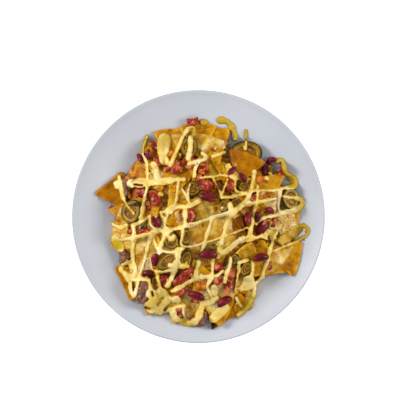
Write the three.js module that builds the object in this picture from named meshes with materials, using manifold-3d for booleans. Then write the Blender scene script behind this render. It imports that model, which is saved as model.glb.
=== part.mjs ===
// Loaded nachos on a coupe plate, in millimetres, +Z up, origin under the middle of the foot ring.
//
// The plate is one turned solid. The heap is a low dome of chips: a core that follows the well of
// the plate, with the chips that show, the blister of melted cheese and the thick strokes of sauce
// fused on. Beans, jalapeno slices, diced tomato and shreds of meat are loose pieces that are let
// down onto the heap one after another, so each rests just clear of what it lies on.

import * as THREE from 'three';
import { mergeVertices } from 'three/addons/utils/BufferGeometryUtils.js';
import Module from 'manifold-3d';

const wasm = await Module();
wasm.setup();

// ---- Driving dimensions -------------------------------------------------------------------

const RIM_RADIUS = 127;
const RIM_HEIGHT = 28;
const RIM_THICKNESS = 3.6;
const WELL_RADIUS = 60;
const WELL_HEIGHT = 6.5;
const WALL_CURVE = 1.75;
const FOOT_RADIUS = 68;
const FOOT_WIDTH = 6;
const FOOT_HEIGHT = 2.5;
const PLATE_SEGMENTS = 48;

const GAP = 0.3;
const HEAP_CLEARANCE = 0.8;

const HEAP_X = 2;
const HEAP_Y = -9;
const HEAP_RADIUS = 91;
const HEAP_THICKNESS = 33;
const HEAP_SHOULDER = 2.9;
const HEAP_SEGMENTS = 24;
const HEAP_RINGS = 9;

const CHIP_THICKNESS = 2;
const CHIP_CORNER = 3.5;
const CHIP_BULGE = 4;
const CHIP_CURL = 3;
const CHIP_SINK = 1.5;

const BEAN_PLUMPNESS = 0.54;
const BEAN_BEND = 0.16;
const SLICE_THICKNESS = 4;
const SLICE_SEGMENTS = 10;
const DICE_HEIGHT = 5.5;
const MEAT_HEIGHT = 6;

const SAUCE_STEP = 11;
const SAUCE_FLATNESS = 0.8;

// ---- Laying-out tables, in millimetres and degrees ----------------------------------------

// Chips: tip x, tip y, heading of the far side, length, width, pitch, roll, lift.
const CHIPS_BELOW = [
  [-105, 23, 6, 30, 42, 2, 0, 0.5],
  [-93, 7, -8, 40, 42, 0, 0, 0],
  [-68, 56, -62, 42, 44, 3, 4, 1],
  [-57, 78, -48, 40, 42, 0, 0, 0],
  [-25, 47, 92, 40, 38, -2, 0, 0],
  [1, 54, 92, 38, 40, -2, 0, 0],
  [32, 91, -140, 36, 54, 0, 0, 1.5],
  [12, 58, -40, 36, 38, 4, -5, 1.5],
  [64, -34, -14, 36, 38, 2, 0, 1],
  [58, 2, -12, 40, 30, 0, 0, 1],
  [13, -115, 55, 43, 40, 0, 0, -1],
  [39, -105, 80, 37, 33, 1, 0, -1],
  [-87, -51, -30, 34, 42, 0, 0, 0],
  [-92, -31, 22, 41, 42, 0, 0, 0.5],
  [-90, -8, -20, 40, 40, 0, 0, 0],
  [-67, -85, 42, 40, 42, 0, 0, 0],
  [-52, -101, 62, 42, 44, 0, 0, 0],
  [-25, -110, 84, 42, 44, 0, 0, 0],
  [60, -84, 130, 42, 44, 0, 0, 0],
  [66, 48, -140, 40, 44, 0, 0, 0.5],
  [89, 44, -145, 40, 40, 0, 0, 0.5],
  [98, 24, -172, 42, 38, 0, 0, 0.5],
];
const CHIPS_ABOVE = [
  [38, 30, 70, 32, 40, 17, 0, 9.7],
  [15, 33, -74, 33, 30, 0, 58, 3],
  [36, 10, -68, 36, 32, 0, 56, 2],
  [48, -20, -62, 34, 34, 5, 8, 2],
  [-6, -40, -64, 38, 36, 2, 0, 2],
  [-72, -18, -46, 40, 40, 2, 0, 1.5],
  [92, -57, 156, 42, 44, 2, 0, 2],
  [-4, -78, -28, 36, 36, 0, 0, 2],
  [-18, 16, -24, 42, 44, 0, 4, 2],
  [34, -6, 188, 42, 42, 2, -4, 2.5],
  [12, 22, -128, 40, 40, 0, 0, 1.5],
];
// Rings of plain chips that fill the heap: how many, radius of their middles, lift.
const CHIP_RINGS = [
  [9, 60, 0],
  [5, 30, 0.5],
];
const FILL_LENGTH = 38;
const FILL_WIDTH = 42;

// The blister of melted cheese: x, y, half widths, half height.
const BLISTER = [2, 5, 8, 8, 5];

// Kidney beans: x, y, length, turn.
const BEANS = [
  [-59, 59, 12, -60],
  [-50, 62, 11, 90],
  [33, 45, 12, 50],
  [44, 39, 12, -50],
  [73, 56, 12, 30],
  [67, 47, 12, 80],
  [-42, -5, 14, -52],
  [-43, -43, 14, 80],
  [9, 19, 18, -15],
  [10, -38, 18, 0],
  [49, -1, 14, 80],
  [59, 0, 12, 75],
  [71, 6, 12, -20],
  [64, -12, 19, 50],
  [62, -41, 17, 10],
  [-51, -57, 13, 15],
  [-2, -79, 18, -15],
  [26, -85, 17, 30],
];

// Jalapeno slices: x, y, long radius, short radius, turn, lean, heading of the lean.
const SLICE_UNDER_CHIP = [48.5, 62.5, 17.3, 14.6, 0, 0, 0];
const SLICES = [
  [-10, 69, 12, 9.5, 90, 16, 0],
  [-67, 5, 13, 11.5, 60, 8, 200],
  [45, 29, 7, 6, 0, 0, 0],
  [25, 10, 6.5, 4.8, 90, 10, 0],
  [37, 13, 6, 5, 0, 0, 0],
  [-6, 27, 8.5, 8, 0, 0, 0],
  [-26, -24, 9, 8, 70, 0, 0],
  [-30, -44, 13, 6.5, 42, 8, 130],
  [-12, -42, 9.5, 5.5, 76, 18, 0],
  [92, 18, 11.5, 10, 90, 0, 0],
  [47, -52, 8, 5.5, 60, 15, 30],
  [78, -21, 5.5, 4.2, 90, 10, 0],
  [-43, -67, 9, 4.5, 85, 25, 0],
  [37, -42, 5.5, 4, 90, 15, 180],
  [-13, -20, 8.5, 5, 85, 22, 0],
];

// Diced tomato and strips of red pepper: x, y, length, width, turn.
const DICE = [
  [-44, 71, 9, 6, 90],
  [-41, 55, 9, 7, 80],
  [-23, 50, 13, 9, 80],
  [-9, 55, 11, 8, -20],
  [5, 46, 11, 8, 20],
  [6, 31, 14, 11, -20],
  [32, 32, 13, 7, 80],
  [-57, 25, 12, 8, 110],
  [-43, 19, 15, 8, 110],
  [-56, -16, 13, 7, 10],
  [-8, 1, 14, 8, 100],
  [55, 18, 11, 7, 10],
  [83, 46, 8, 6, 60],
  [-32, -64, 12, 8, 90],
  [-15, -60, 23, 8, 40],
  [-17, -75, 13, 6, 35],
  [20, -50, 8, 7, 0],
  [20, -62, 10, 9, 80],
  [31, -63, 23, 8, 88],
  [-6, 95, 11, 7, 10],
];

// Shreds of meat: x, y, length, width, turn.
const MEAT = [
  [-73, 30, 17, 9, 80],
  [-75, -42, 13, 8, 80],
  [-55, -75, 20, 12, 75],
  [2, -102, 16, 11, 80],
];

// Strokes of sauce: width, then the points that the stroke runs through.
const STROKES = [
  [11.5, [-34, 78], [-35.5, 67], [-35, 57]],
  [5, [-28, 51], [-22, 65], [-16, 79], [-8, 90], [-4, 83]],
  [5.5, [-8, 79], [-10, 58]],
  [8, [-67, 33], [-43, 34], [-14, 37]],
  [7, [-41, 39], [-45, 52]],
  [4, [-51, 29], [-54, 15], [-57, -1]],
  [4, [-80, 40], [-75, 18], [-64, 3]],
  [6, [22, 97], [33, 91.5], [37, 79]],
  [4.5, [56, 45], [51, 23], [33, 1]],
  [4, [52, 25], [76, 26], [99, 32]],
  [5, [59, 30], [56, 7], [49, -24]],
  [5, [79, 56], [86, 52], [87, 45], [98, 33], [90, 29]],
  [6, [99, 18], [105, 12.5], [95, 6], [82, 3]],
  [4.5, [94, -12], [109, -13], [104, -22], [76, -34]],
  [4.5, [-79, -24], [-36, -14], [14, -1], [50, 14]],
  [3, [-14, -30], [48, -11]],
  [5, [31, 12], [29, -5], [20, -37]],
  [4, [14, 0], [5, -34]],
  [6, [19, -39], [39, -25], [52, -21]],
  [4.5, [78, -15], [72, -31], [64, -61]],
  [5, [-65, -9], [-66, -50]],
  [4.5, [-47, -19], [-57, -54]],
  [5, [-35, -5], [-33, -16], [-42, -43]],
  [5, [-63, -48], [-74, -46], [-76, -56], [-66, -59]],
  [4.5, [-58, -57], [-65, -79], [-69, -66]],
  [6, [-20, -33], [-24, -55]],
  [9, [-47, -77], [-45, -83], [-49, -90]],
  [4, [-49, -63], [-47, -76]],
  [9, [-38, -75], [-32, -89]],
  [5, [-26, -74], [-6, -63], [12, -60]],
  [7, [-26, -95], [-15, -106], [-1, -101], [5, -87], [19, -82]],
  [9, [26.5, -91.5], [15, -102]],
  [6, [54, -45], [52, -60], [42, -72]],
  [5, [56.5, -72], [51, -88], [40, -98.5]],
  [5, [-86, -8], [-72, -9]],
  [5, [-34, 4], [-17, 10], [1, 16]],
];

// ---- Shared makers -------------------------------------------------------------------------

const MERGE_DISTANCE = 1e-3;

function toSolid(geometry) {
  const bare = new THREE.BufferGeometry();
  bare.setAttribute('position', geometry.getAttribute('position').clone());
  if (geometry.index) {
    bare.setIndex(geometry.index.clone());
  }
  const merged = mergeVertices(bare, MERGE_DISTANCE);
  return new wasm.Manifold(new wasm.Mesh({
    numProp: 3,
    vertProperties: new Float32Array(merged.getAttribute('position').array),
    triVerts: new Uint32Array(merged.index.array),
  }));
}

function toGeometry(solid) {
  const mesh = solid.getMesh();
  const geometry = new THREE.BufferGeometry();
  geometry.setAttribute('position', new THREE.BufferAttribute(new Float32Array(mesh.vertProperties), 3));
  geometry.setIndex(new THREE.BufferAttribute(new Uint32Array(mesh.triVerts), 1));
  return geometry;
}

// Moves every vertex of a geometry by a function of its place.
function reshape(geometry, move) {
  const places = geometry.getAttribute('position');
  const point = new THREE.Vector3();
  for (let i = 0; i < places.count; i += 1) {
    point.fromBufferAttribute(places, i);
    move(point);
    places.setXYZ(i, point.x, point.y, point.z);
  }
  return geometry;
}

// Joins solids and keeps the largest body, so that scraps and sealed hollows go.
function fuse(solids) {
  const bodies = solids.reduce((whole, next) => whole.add(next)).decompose();
  return bodies.reduce((largest, next) => (next.volume() > largest.volume() ? next : largest));
}

// A seeded random generator, so that the uneven shapes are the same each time.
let seed = 20;
function random(low, high) {
  seed = (seed * 1664525 + 1013904223) % 4294967296;
  return low + (high - low) * (seed / 4294967296);
}

// A fixed unevenness in space, between -1 and 1.
function ripple(x, y, z) {
  return Math.sin(x + 1.7 * Math.sin(y)) * Math.cos(1.3 * y + z) * Math.cos(0.9 * z - 0.4 * x);
}

function degrees(angle) {
  return THREE.MathUtils.degToRad(angle);
}

const group = new THREE.Group();

function addPiece(name, geometry, material) {
  const mesh = new THREE.Mesh(geometry, material);
  mesh.name = name;
  group.add(mesh);
  return mesh;
}

// ---- Plate: white glazed coupe, turned on a foot ring --------------------------------------

// Height of the eating surface at a distance from the middle.
function plateSurface(radius) {
  const climb = Math.max(0, radius - WELL_RADIUS) / (RIM_RADIUS - WELL_RADIUS);
  return WELL_HEIGHT + (RIM_HEIGHT - WELL_HEIGHT) * climb ** WALL_CURVE;
}

const WALL_STEPS = 5;
const RIM_LIP = RIM_THICKNESS / 2;

function plateProfile() {
  const wallStart = FOOT_RADIUS + FOOT_WIDTH;
  const underside = FOOT_HEIGHT;
  const profile = [
    [0, underside],
    [FOOT_RADIUS - FOOT_WIDTH / 2, underside],
    [FOOT_RADIUS - FOOT_WIDTH / 4, 0],
    [FOOT_RADIUS + FOOT_WIDTH / 2, 0],
  ];
  for (let i = 0; i < WALL_STEPS; i += 1) {
    const radius = THREE.MathUtils.lerp(wallStart, RIM_RADIUS - RIM_LIP, i / (WALL_STEPS - 1));
    profile.push([radius, plateSurface(radius) - RIM_THICKNESS]);
  }
  profile.push([RIM_RADIUS, RIM_HEIGHT - RIM_LIP]);
  profile.push([RIM_RADIUS - RIM_LIP / 2, RIM_HEIGHT]);
  for (let i = WALL_STEPS - 1; i >= 0; i -= 1) {
    const radius = THREE.MathUtils.lerp(WELL_RADIUS, RIM_RADIUS - 2 * RIM_LIP, i / (WALL_STEPS - 1));
    profile.push([radius, plateSurface(radius)]);
  }
  profile.push([0, WELL_HEIGHT]);
  return profile.map(([radius, height]) => new THREE.Vector2(radius, height));
}

const plateGeometry = new THREE.LatheGeometry(plateProfile(), PLATE_SEGMENTS);
plateGeometry.rotateX(Math.PI / 2);
const glaze = new THREE.MeshStandardMaterial({ color: 0xdfe3ea, roughness: 0.22, metalness: 0 });
addPiece('plate', plateGeometry, glaze);
const plateSolid = toSolid(plateGeometry);

// ---- Core of the heap ----------------------------------------------------------------------

// The heap is a little three-cornered, as it fell.
function coreRadius(angle) {
  return HEAP_RADIUS + 5 * Math.cos(3 * angle - 0.42) + 1.7 * Math.cos(4 * angle);
}

function coreFloor(x, y) {
  return plateSurface(Math.hypot(x, y)) + HEAP_CLEARANCE;
}

function coreTop(x, y) {
  const reach = Math.hypot(x - HEAP_X, y - HEAP_Y) / coreRadius(Math.atan2(y - HEAP_Y, x - HEAP_X));
  const swell = Math.max(0, 1 - reach ** HEAP_SHOULDER);
  const lumps = 1.6 * Math.sin(x / 13) * Math.cos(y / 11 + 0.5) * Math.min(1, 3 * swell);
  return coreFloor(x, y) + HEAP_THICKNESS * swell + lumps;
}

const coreGeometry = new THREE.SphereGeometry(1, HEAP_SEGMENTS, HEAP_RINGS);
coreGeometry.rotateX(Math.PI / 2);
reshape(coreGeometry, (point) => {
  const angle = Math.atan2(point.y, point.x);
  const reach = Math.hypot(point.x, point.y) * coreRadius(angle);
  const above = point.z > 1e-6;
  point.x = HEAP_X + reach * Math.cos(angle);
  point.y = HEAP_Y + reach * Math.sin(angle);
  point.z = above ? coreTop(point.x, point.y) : coreFloor(point.x, point.y);
});

// ---- Chips ---------------------------------------------------------------------------------

const CHIP_MIDDLE = 0.62;

// A wedge cut from a round tortilla: two straight sides, cut corners and a bowed far side.
function chipOutline(length, width) {
  const tip = new THREE.Vector2(0, 0);
  const left = new THREE.Vector2(length, width / 2);
  const right = new THREE.Vector2(length, -width / 2);
  const near = (from, to) => from.clone().lerp(to, CHIP_CORNER / from.distanceTo(to));
  return new THREE.Shape([
    near(tip, right),
    near(right, tip),
    near(right, left),
    new THREE.Vector2(length + CHIP_BULGE, 0),
    near(left, right),
    near(left, tip),
    near(tip, left),
  ]);
}

// Where a chip comes to lie: the plane through its three corners, raised until the dome under its
// middle and its edges is only just below it.
function chipPlane(tipX, tipY, heading, length, width) {
  const forward = new THREE.Vector2(Math.cos(degrees(heading)), Math.sin(degrees(heading)));
  const place = (along, across) => {
    const x = tipX + forward.x * along - forward.y * across;
    const y = tipY + forward.y * along + forward.x * across;
    return new THREE.Vector3(x, y, coreTop(x, y));
  };
  const tip = place(0, 0);
  const left = place(length, width / 2);
  const right = place(length, -width / 2);
  const up = left.clone().sub(tip).cross(tip.clone().sub(right)).normalize();
  const middle = place(CHIP_MIDDLE * length, 0);
  const probes = [[0.35, 0], [0.62, 0], [1, 0], [0.5, 0.25], [0.5, -0.25]];
  const depths = probes.map(([along, across]) => (
    place(along * length, across * width).sub(tip).dot(up)
  ));
  const rise = Math.max(0, ...depths) - CHIP_SINK;
  middle.z = tip.z - ((middle.x - tip.x) * up.x + (middle.y - tip.y) * up.y) / up.z;
  return { up, middle: middle.addScaledVector(up, rise) };
}

// A chip curls up along its sides, and its corners bend up where they meet the plate.
function chipGeometry([tipX, tipY, heading, length, width, pitch, roll, lift]) {
  const geometry = new THREE.ExtrudeGeometry(chipOutline(length, width), {
    depth: CHIP_THICKNESS,
    bevelEnabled: false,
  });
  const { up, middle } = chipPlane(tipX, tipY, heading, length, width);
  const along = new THREE.Vector3(Math.cos(degrees(heading)), Math.sin(degrees(heading)), 0);
  along.addScaledVector(up, -along.dot(up)).normalize();
  const lie = new THREE.Matrix4().makeBasis(along, up.clone().cross(along), up);
  lie.setPosition(middle.x, middle.y, middle.z + lift);
  lie.multiply(new THREE.Matrix4().makeRotationY(-degrees(pitch)));
  lie.multiply(new THREE.Matrix4().makeRotationX(degrees(roll)));
  return reshape(geometry, (point) => {
    const layer = point.z;
    const across = (2 * point.y) / width;
    point.x -= CHIP_MIDDLE * length;
    point.z += CHIP_CURL * (across ** 2 - 0.3) - CHIP_THICKNESS / 2;
    point.applyMatrix4(lie);
    point.z = Math.max(point.z, coreFloor(point.x, point.y) + layer);
  });
}

function fillChips() {
  const chips = [];
  for (const [count, radius, lift] of CHIP_RINGS) {
    for (let i = 0; i < count; i += 1) {
      const angle = (360 / count) * (i + random(-0.2, 0.2));
      const heading = angle + random(150, 210);
      const back = CHIP_MIDDLE * FILL_LENGTH;
      const x = HEAP_X + radius * Math.cos(degrees(angle)) - back * Math.cos(degrees(heading));
      const y = HEAP_Y + radius * Math.sin(degrees(angle)) - back * Math.sin(degrees(heading));
      chips.push([x, y, heading, FILL_LENGTH, FILL_WIDTH, random(-2, 5), random(-6, 6), lift]);
    }
  }
  return chips;
}

const [blisterX, blisterY, blisterLong, blisterWide, blisterHigh] = BLISTER;
const blister = new THREE.SphereGeometry(1, 12, 8);
blister.rotateX(Math.PI / 2);
blister.scale(blisterLong, blisterWide, blisterHigh);
blister.translate(blisterX, blisterY, coreTop(blisterX, blisterY) + 3);

const lowerChips = [...fillChips(), ...CHIPS_BELOW].map((chip) => toSolid(chipGeometry(chip)));
const upperChips = CHIPS_ABOVE.map((chip) => toSolid(chipGeometry(chip)));

// ---- Letting a loose piece down onto the heap ----------------------------------------------

const DROP_STEP = 1.2;
const DROP_HALVINGS = 5;
const MOST_SLOPE = 0.75;

const ray = new THREE.Raycaster();
const DOWN = new THREE.Vector3(0, 0, -1);
const RAY_START = 120;

function heightOn(mesh, x, y) {
  ray.set(new THREE.Vector3(x, y, RAY_START), DOWN);
  const hits = ray.intersectObject(mesh);
  const plate = plateSurface(Math.hypot(x, y));
  return hits.length > 0 ? Math.max(plate, hits[0].point.z) : plate;
}

// The plane that fits a mesh under a footprint: its height in the middle and its two slopes.
function planeUnder(mesh, x, y, radius) {
  const probes = 8;
  const plane = { height: heightOn(mesh, x, y) / (probes + 1), slopeX: 0, slopeY: 0 };
  for (let i = 0; i < probes; i += 1) {
    const dx = radius * Math.cos((2 * Math.PI * i) / probes);
    const dy = radius * Math.sin((2 * Math.PI * i) / probes);
    const height = heightOn(mesh, x + dx, y + dy);
    plane.height += height / (probes + 1);
    plane.slopeX += (2 * height * dx) / (probes * radius ** 2);
    plane.slopeY += (2 * height * dy) / (probes * radius ** 2);
  }
  return plane;
}

const placed = [];

function touches(solid, bounds, heap) {
  if (!solid.intersect(heap).isEmpty() || !solid.intersect(plateSolid).isEmpty()) {
    return true;
  }
  return placed.some((other) => other.bounds.intersectsBox(bounds) && !solid.intersect(other.solid).isEmpty());
}

// Turns a piece to the slope under it and lowers it until a grown copy of it would touch.
function letDown(geometry, heap, heapMesh, { x, y, turn, lean = 0, leanHeading = 0, radius }) {
  const plane = planeUnder(heapMesh, x, y, radius * 0.8);
  const slope = Math.hypot(plane.slopeX, plane.slopeY);
  const share = slope > MOST_SLOPE ? MOST_SLOPE / slope : 1;
  const up = new THREE.Vector3(-plane.slopeX * share, -plane.slopeY * share, 1).normalize();
  const upright = new THREE.Quaternion().setFromUnitVectors(new THREE.Vector3(0, 0, 1), up);
  const leanAxis = new THREE.Vector3(-Math.sin(degrees(leanHeading)), Math.cos(degrees(leanHeading)), 0);
  geometry.rotateZ(degrees(turn));
  geometry.applyQuaternion(new THREE.Quaternion().setFromAxisAngle(leanAxis, degrees(lean)));
  geometry.applyQuaternion(upright);
  geometry.translate(x, y, 0);
  geometry.computeBoundingBox();

  const size = geometry.boundingBox.getSize(new THREE.Vector3());
  const centre = geometry.boundingBox.getCenter(new THREE.Vector3());
  const grown = geometry.clone();
  grown.translate(-centre.x, -centre.y, -centre.z);
  grown.scale(1 + (2 * GAP) / size.x, 1 + (2 * GAP) / size.y, 1 + (2 * GAP) / size.z);
  grown.translate(centre.x, centre.y, centre.z);
  grown.computeBoundingBox();

  const grownSolid = toSolid(grown);
  const isFree = (height) => {
    const bounds = grown.boundingBox.clone().translate(new THREE.Vector3(0, 0, height));
    return !touches(grownSolid.translate([0, 0, height]), bounds, heap);
  };
  let free = plane.height + size.z / 2 + radius;
  while (!isFree(free)) {
    free += DROP_STEP;
  }
  while (free > 0 && isFree(free - DROP_STEP)) {
    free -= DROP_STEP;
  }
  let blocked = free - DROP_STEP;
  for (let i = 0; i < DROP_HALVINGS; i += 1) {
    const half = (free + blocked) / 2;
    if (isFree(half)) {
      free = half;
    } else {
      blocked = half;
    }
  }
  geometry.translate(0, 0, free);
  const bounds = grown.boundingBox.clone().translate(new THREE.Vector3(0, 0, free));
  placed.push({ solid: grownSolid.translate([0, 0, free]), bounds, x, y, radius });
  return geometry;
}

// ---- Loose toppings ------------------------------------------------------------------------

// A kidney bean: an egg bent in the plane, with a dent on its inner side.
function beanGeometry(length) {
  const geometry = new THREE.SphereGeometry(1, 8, 6);
  geometry.rotateZ(Math.PI / 2);
  return reshape(geometry, (point) => {
    const along = point.x;
    const thick = BEAN_PLUMPNESS * (1 + 0.08 * along);
    point.x = (length / 2) * along;
    point.y = (length / 2) * (thick * point.y + BEAN_BEND * (1 - along ** 2) - BEAN_BEND / 2);
    point.z = (length / 2) * thick * 0.86 * point.z;
  });
}

// A slice across a jalapeno: a thick ring of skin and flesh round a sunken middle of seeds.
function sliceGeometry(longRadius, shortRadius) {
  const half = SLICE_THICKNESS / 2;
  const profile = [
    [0, -half],
    [0.95, -half],
    [1, half * 0.5],
    [0.78, half],
    [0.56, half * 0.3],
    [0, half * 0.3],
  ];
  const points = profile.map(([out, high]) => new THREE.Vector2(out, high));
  const geometry = new THREE.LatheGeometry(points, SLICE_SEGMENTS);
  geometry.rotateX(Math.PI / 2);
  return reshape(geometry, (point) => {
    const angle = Math.atan2(point.y, point.x);
    const wobble = 1 + 0.04 * Math.sin(3 * angle + longRadius);
    point.x *= wobble * longRadius;
    point.y *= wobble * shortRadius;
  });
}

// A soft-edged uneven block, for a dice of tomato or a shred of meat.
function blockGeometry(length, width, height, uneven) {
  const geometry = new THREE.BoxGeometry(2, 2, 2, 2, 2, 2);
  return reshape(geometry, (point) => {
    const shrink = 1 / Math.max(1, point.length()) ** 0.45;
    const swell = 1 + uneven * ripple(point.x * 2 + length, point.y * 2 + width, point.z * 2);
    point.multiplyScalar(shrink * swell * 1.12);
    point.set((point.x * length) / 2, (point.y * width) / 2, (point.z * height) / 2);
  });
}

const beanSkin = new THREE.MeshStandardMaterial({ color: 0x5a1030, roughness: 0.35, metalness: 0 });
const jalapenoFlesh = new THREE.MeshStandardMaterial({ color: 0x6a6420, roughness: 0.45, metalness: 0 });
const tomatoFlesh = new THREE.MeshStandardMaterial({ color: 0xb82828, roughness: 0.35, metalness: 0 });
const meatFibre = new THREE.MeshStandardMaterial({ color: 0x7d5546, roughness: 0.6, metalness: 0 });

function addSlice(number, [x, y, long, short, turn, lean, leanHeading], heap, heapMesh) {
  const place = { x, y, turn, lean, leanHeading, radius: (long + short) / 2 };
  const geometry = letDown(sliceGeometry(long, short), heap, heapMesh, place);
  addPiece(`jalapeno_${number}`, geometry, jalapenoFlesh);
}

const lowerHeap = fuse([toSolid(coreGeometry), toSolid(blister), ...lowerChips]);
addSlice(1, SLICE_UNDER_CHIP, lowerHeap, new THREE.Mesh(toGeometry(lowerHeap)));

// The chips on top go on once the slice that they cover has been let down.
const bareHeap = fuse([lowerHeap, ...upperChips]);
const bareHeapMesh = new THREE.Mesh(toGeometry(bareHeap));

SLICES.forEach((slice, index) => addSlice(index + 2, slice, bareHeap, bareHeapMesh));

DICE.forEach(([x, y, length, width, turn], index) => {
  const geometry = blockGeometry(length, width, DICE_HEIGHT, 0.1);
  const place = { x, y, turn, radius: (length + width) / 4 };
  addPiece(`tomato_${index + 1}`, letDown(geometry, bareHeap, bareHeapMesh, place), tomatoFlesh);
});

MEAT.forEach(([x, y, length, width, turn], index) => {
  const geometry = blockGeometry(length, width, MEAT_HEIGHT, 0.22);
  const place = { x, y, turn, radius: (length + width) / 4 };
  addPiece(`meat_${index + 1}`, letDown(geometry, bareHeap, bareHeapMesh, place), meatFibre);
});

BEANS.forEach(([x, y, length, turn], index) => {
  const place = { x, y, turn, radius: length * 0.4 };
  addPiece(`bean_${index + 1}`, letDown(beanGeometry(length), bareHeap, bareHeapMesh, place), beanSkin);
});

// ---- Sauce ---------------------------------------------------------------------------------

const SAUCE_SINK = 0.1;
const SAUCE_MARGIN = 0.6;
const SHORTEST_RUN = 2;

// The parts of a stroke that run clear of every topping, as lists of points on the heap.
function strokeRuns(width, path) {
  const route = new THREE.CatmullRomCurve3(path.map(([x, y]) => new THREE.Vector3(x, y, 0)));
  const steps = Math.ceil(route.getLength() / SAUCE_STEP);
  const runs = [[]];
  for (const point of route.getSpacedPoints(steps)) {
    const isClear = placed.every((other) => (
      Math.hypot(point.x - other.x, point.y - other.y) > other.radius + width / 2 + SAUCE_MARGIN
    ));
    if (isClear) {
      const least = coreFloor(point.x, point.y) + width / 2;
      point.z = Math.max(least, heightOn(bareHeapMesh, point.x, point.y) + width * SAUCE_SINK);
      runs[runs.length - 1].push(point);
    } else {
      runs.push([]);
    }
  }
  return runs.filter((run) => run.length >= SHORTEST_RUN);
}

// A stroke is a flattened ridge: its section's first axis points up when it is swept.
function strokeSection(width) {
  const half = width / 2;
  const high = half * SAUCE_FLATNESS;
  return new THREE.Shape([
    new THREE.Vector2(high, 0),
    new THREE.Vector2(0, half),
    new THREE.Vector2(-high, 0),
    new THREE.Vector2(0, -half),
  ]);
}

function strokeSolids([width, ...path]) {
  const solids = strokeRuns(width, path).map((run) => toSolid(new THREE.ExtrudeGeometry(
    strokeSection(width),
    { steps: run.length - 1, extrudePath: new THREE.CatmullRomCurve3(run) },
  )));
  return solids.filter((solid) => (
    solid.intersect(plateSolid).isEmpty()
    && placed.every((other) => solid.intersect(other.solid).isEmpty())
  ));
}

const corn = new THREE.MeshStandardMaterial({ color: 0xd09a3a, roughness: 0.7, metalness: 0 });
const dressedHeap = fuse([bareHeap, ...STROKES.flatMap(strokeSolids)]);
addPiece('chip_heap', toGeometry(dressedHeap), corn);

export default group;
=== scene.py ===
import math
import random

import bpy
import numpy as np
from mathutils import Matrix, Vector, noise
from mathutils.bvhtree import BVHTree


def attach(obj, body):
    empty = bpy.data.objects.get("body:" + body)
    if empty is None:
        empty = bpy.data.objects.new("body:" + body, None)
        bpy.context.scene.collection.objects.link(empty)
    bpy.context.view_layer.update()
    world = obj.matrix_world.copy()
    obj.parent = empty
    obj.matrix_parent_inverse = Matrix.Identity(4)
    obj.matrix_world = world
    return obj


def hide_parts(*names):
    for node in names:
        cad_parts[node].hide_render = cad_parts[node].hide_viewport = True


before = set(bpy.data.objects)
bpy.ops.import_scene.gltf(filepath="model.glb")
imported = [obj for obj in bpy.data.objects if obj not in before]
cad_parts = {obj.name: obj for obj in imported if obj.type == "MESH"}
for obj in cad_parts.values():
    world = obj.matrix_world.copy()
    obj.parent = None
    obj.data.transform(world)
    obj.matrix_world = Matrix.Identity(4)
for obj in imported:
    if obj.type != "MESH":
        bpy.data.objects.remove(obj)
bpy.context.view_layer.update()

# --- Plate ------------------------------------------------------------------------------
# A coupe plate of white stoneware, turned on a wheel with a foot ring and dipped in a clear
# bluish glaze. A faint darker line is painted on its lip.

MM = 0.001
RIM_RADIUS = 127
RIM_HEIGHT = 28
RIM_THICKNESS = 3.6
WELL_RADIUS = 60
WELL_HEIGHT = 6.5
WALL_CURVE = 1.75
FOOT_INNER = 66.2
FOOT_OUTER = 71
FOOT_HEIGHT = 2.5
PLATE_SIDES = 96
# Radii between which a faint darker line is painted on the lip.
LIP_STARTS = 124.9
LIP_ENDS = 126.2


def plate_surface(radius):
    climb = max(0.0, radius - WELL_RADIUS) / (RIM_RADIUS - WELL_RADIUS)
    return WELL_HEIGHT + (RIM_HEIGHT - WELL_HEIGHT) * climb**WALL_CURVE


def select_only(piece):
    bpy.ops.object.select_all(action="DESELECT")
    piece.select_set(True)
    bpy.context.view_layer.objects.active = piece


def start_piece(name, add_primitive, **sizes):
    """Adds a primitive with all else deselected and opens it in edit mode, all selected."""
    bpy.ops.object.select_all(action="DESELECT")
    add_primitive(**sizes)
    piece = bpy.context.object
    piece.name = name
    piece.data.name = name
    bpy.ops.object.mode_set(mode="EDIT")
    bpy.ops.mesh.select_all(action="SELECT")
    return piece


def turn_rings(rings):
    """Carries the selected circle, the first of the (radius, height) rings, on to the last and closes it."""
    for (radius, height), (next_radius, next_height) in zip(rings, rings[1:]):
        scale = next_radius / radius
        bpy.ops.mesh.extrude_edges_move()
        bpy.ops.transform.resize(value=(scale, scale, 1))
        bpy.ops.transform.translate(value=(0, 0, (next_height - height) * MM))
    bpy.ops.mesh.edge_face_add()
    bpy.ops.mesh.poke()


def close_mesh():
    """Turns the faces outward and closes edit mode."""
    bpy.ops.mesh.select_all(action="SELECT")
    bpy.ops.mesh.normals_make_consistent(inside=False)
    bpy.ops.object.mode_set(mode="OBJECT")


def apply_modifiers(piece, *modifiers):
    """Applies modifiers, each a kind with its settings, and shades smooth."""
    select_only(piece)
    for kind, settings in modifiers:
        modifier = piece.modifiers.new(kind.lower(), kind)
        for key, value in settings.items():
            setattr(modifier, key, value)
        bpy.ops.object.modifier_apply(modifier=modifier.name)
    bpy.ops.object.shade_smooth()


def subdivided(levels, **settings):
    return "SUBSURF", {"levels": levels, "render_levels": levels, **settings}


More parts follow.
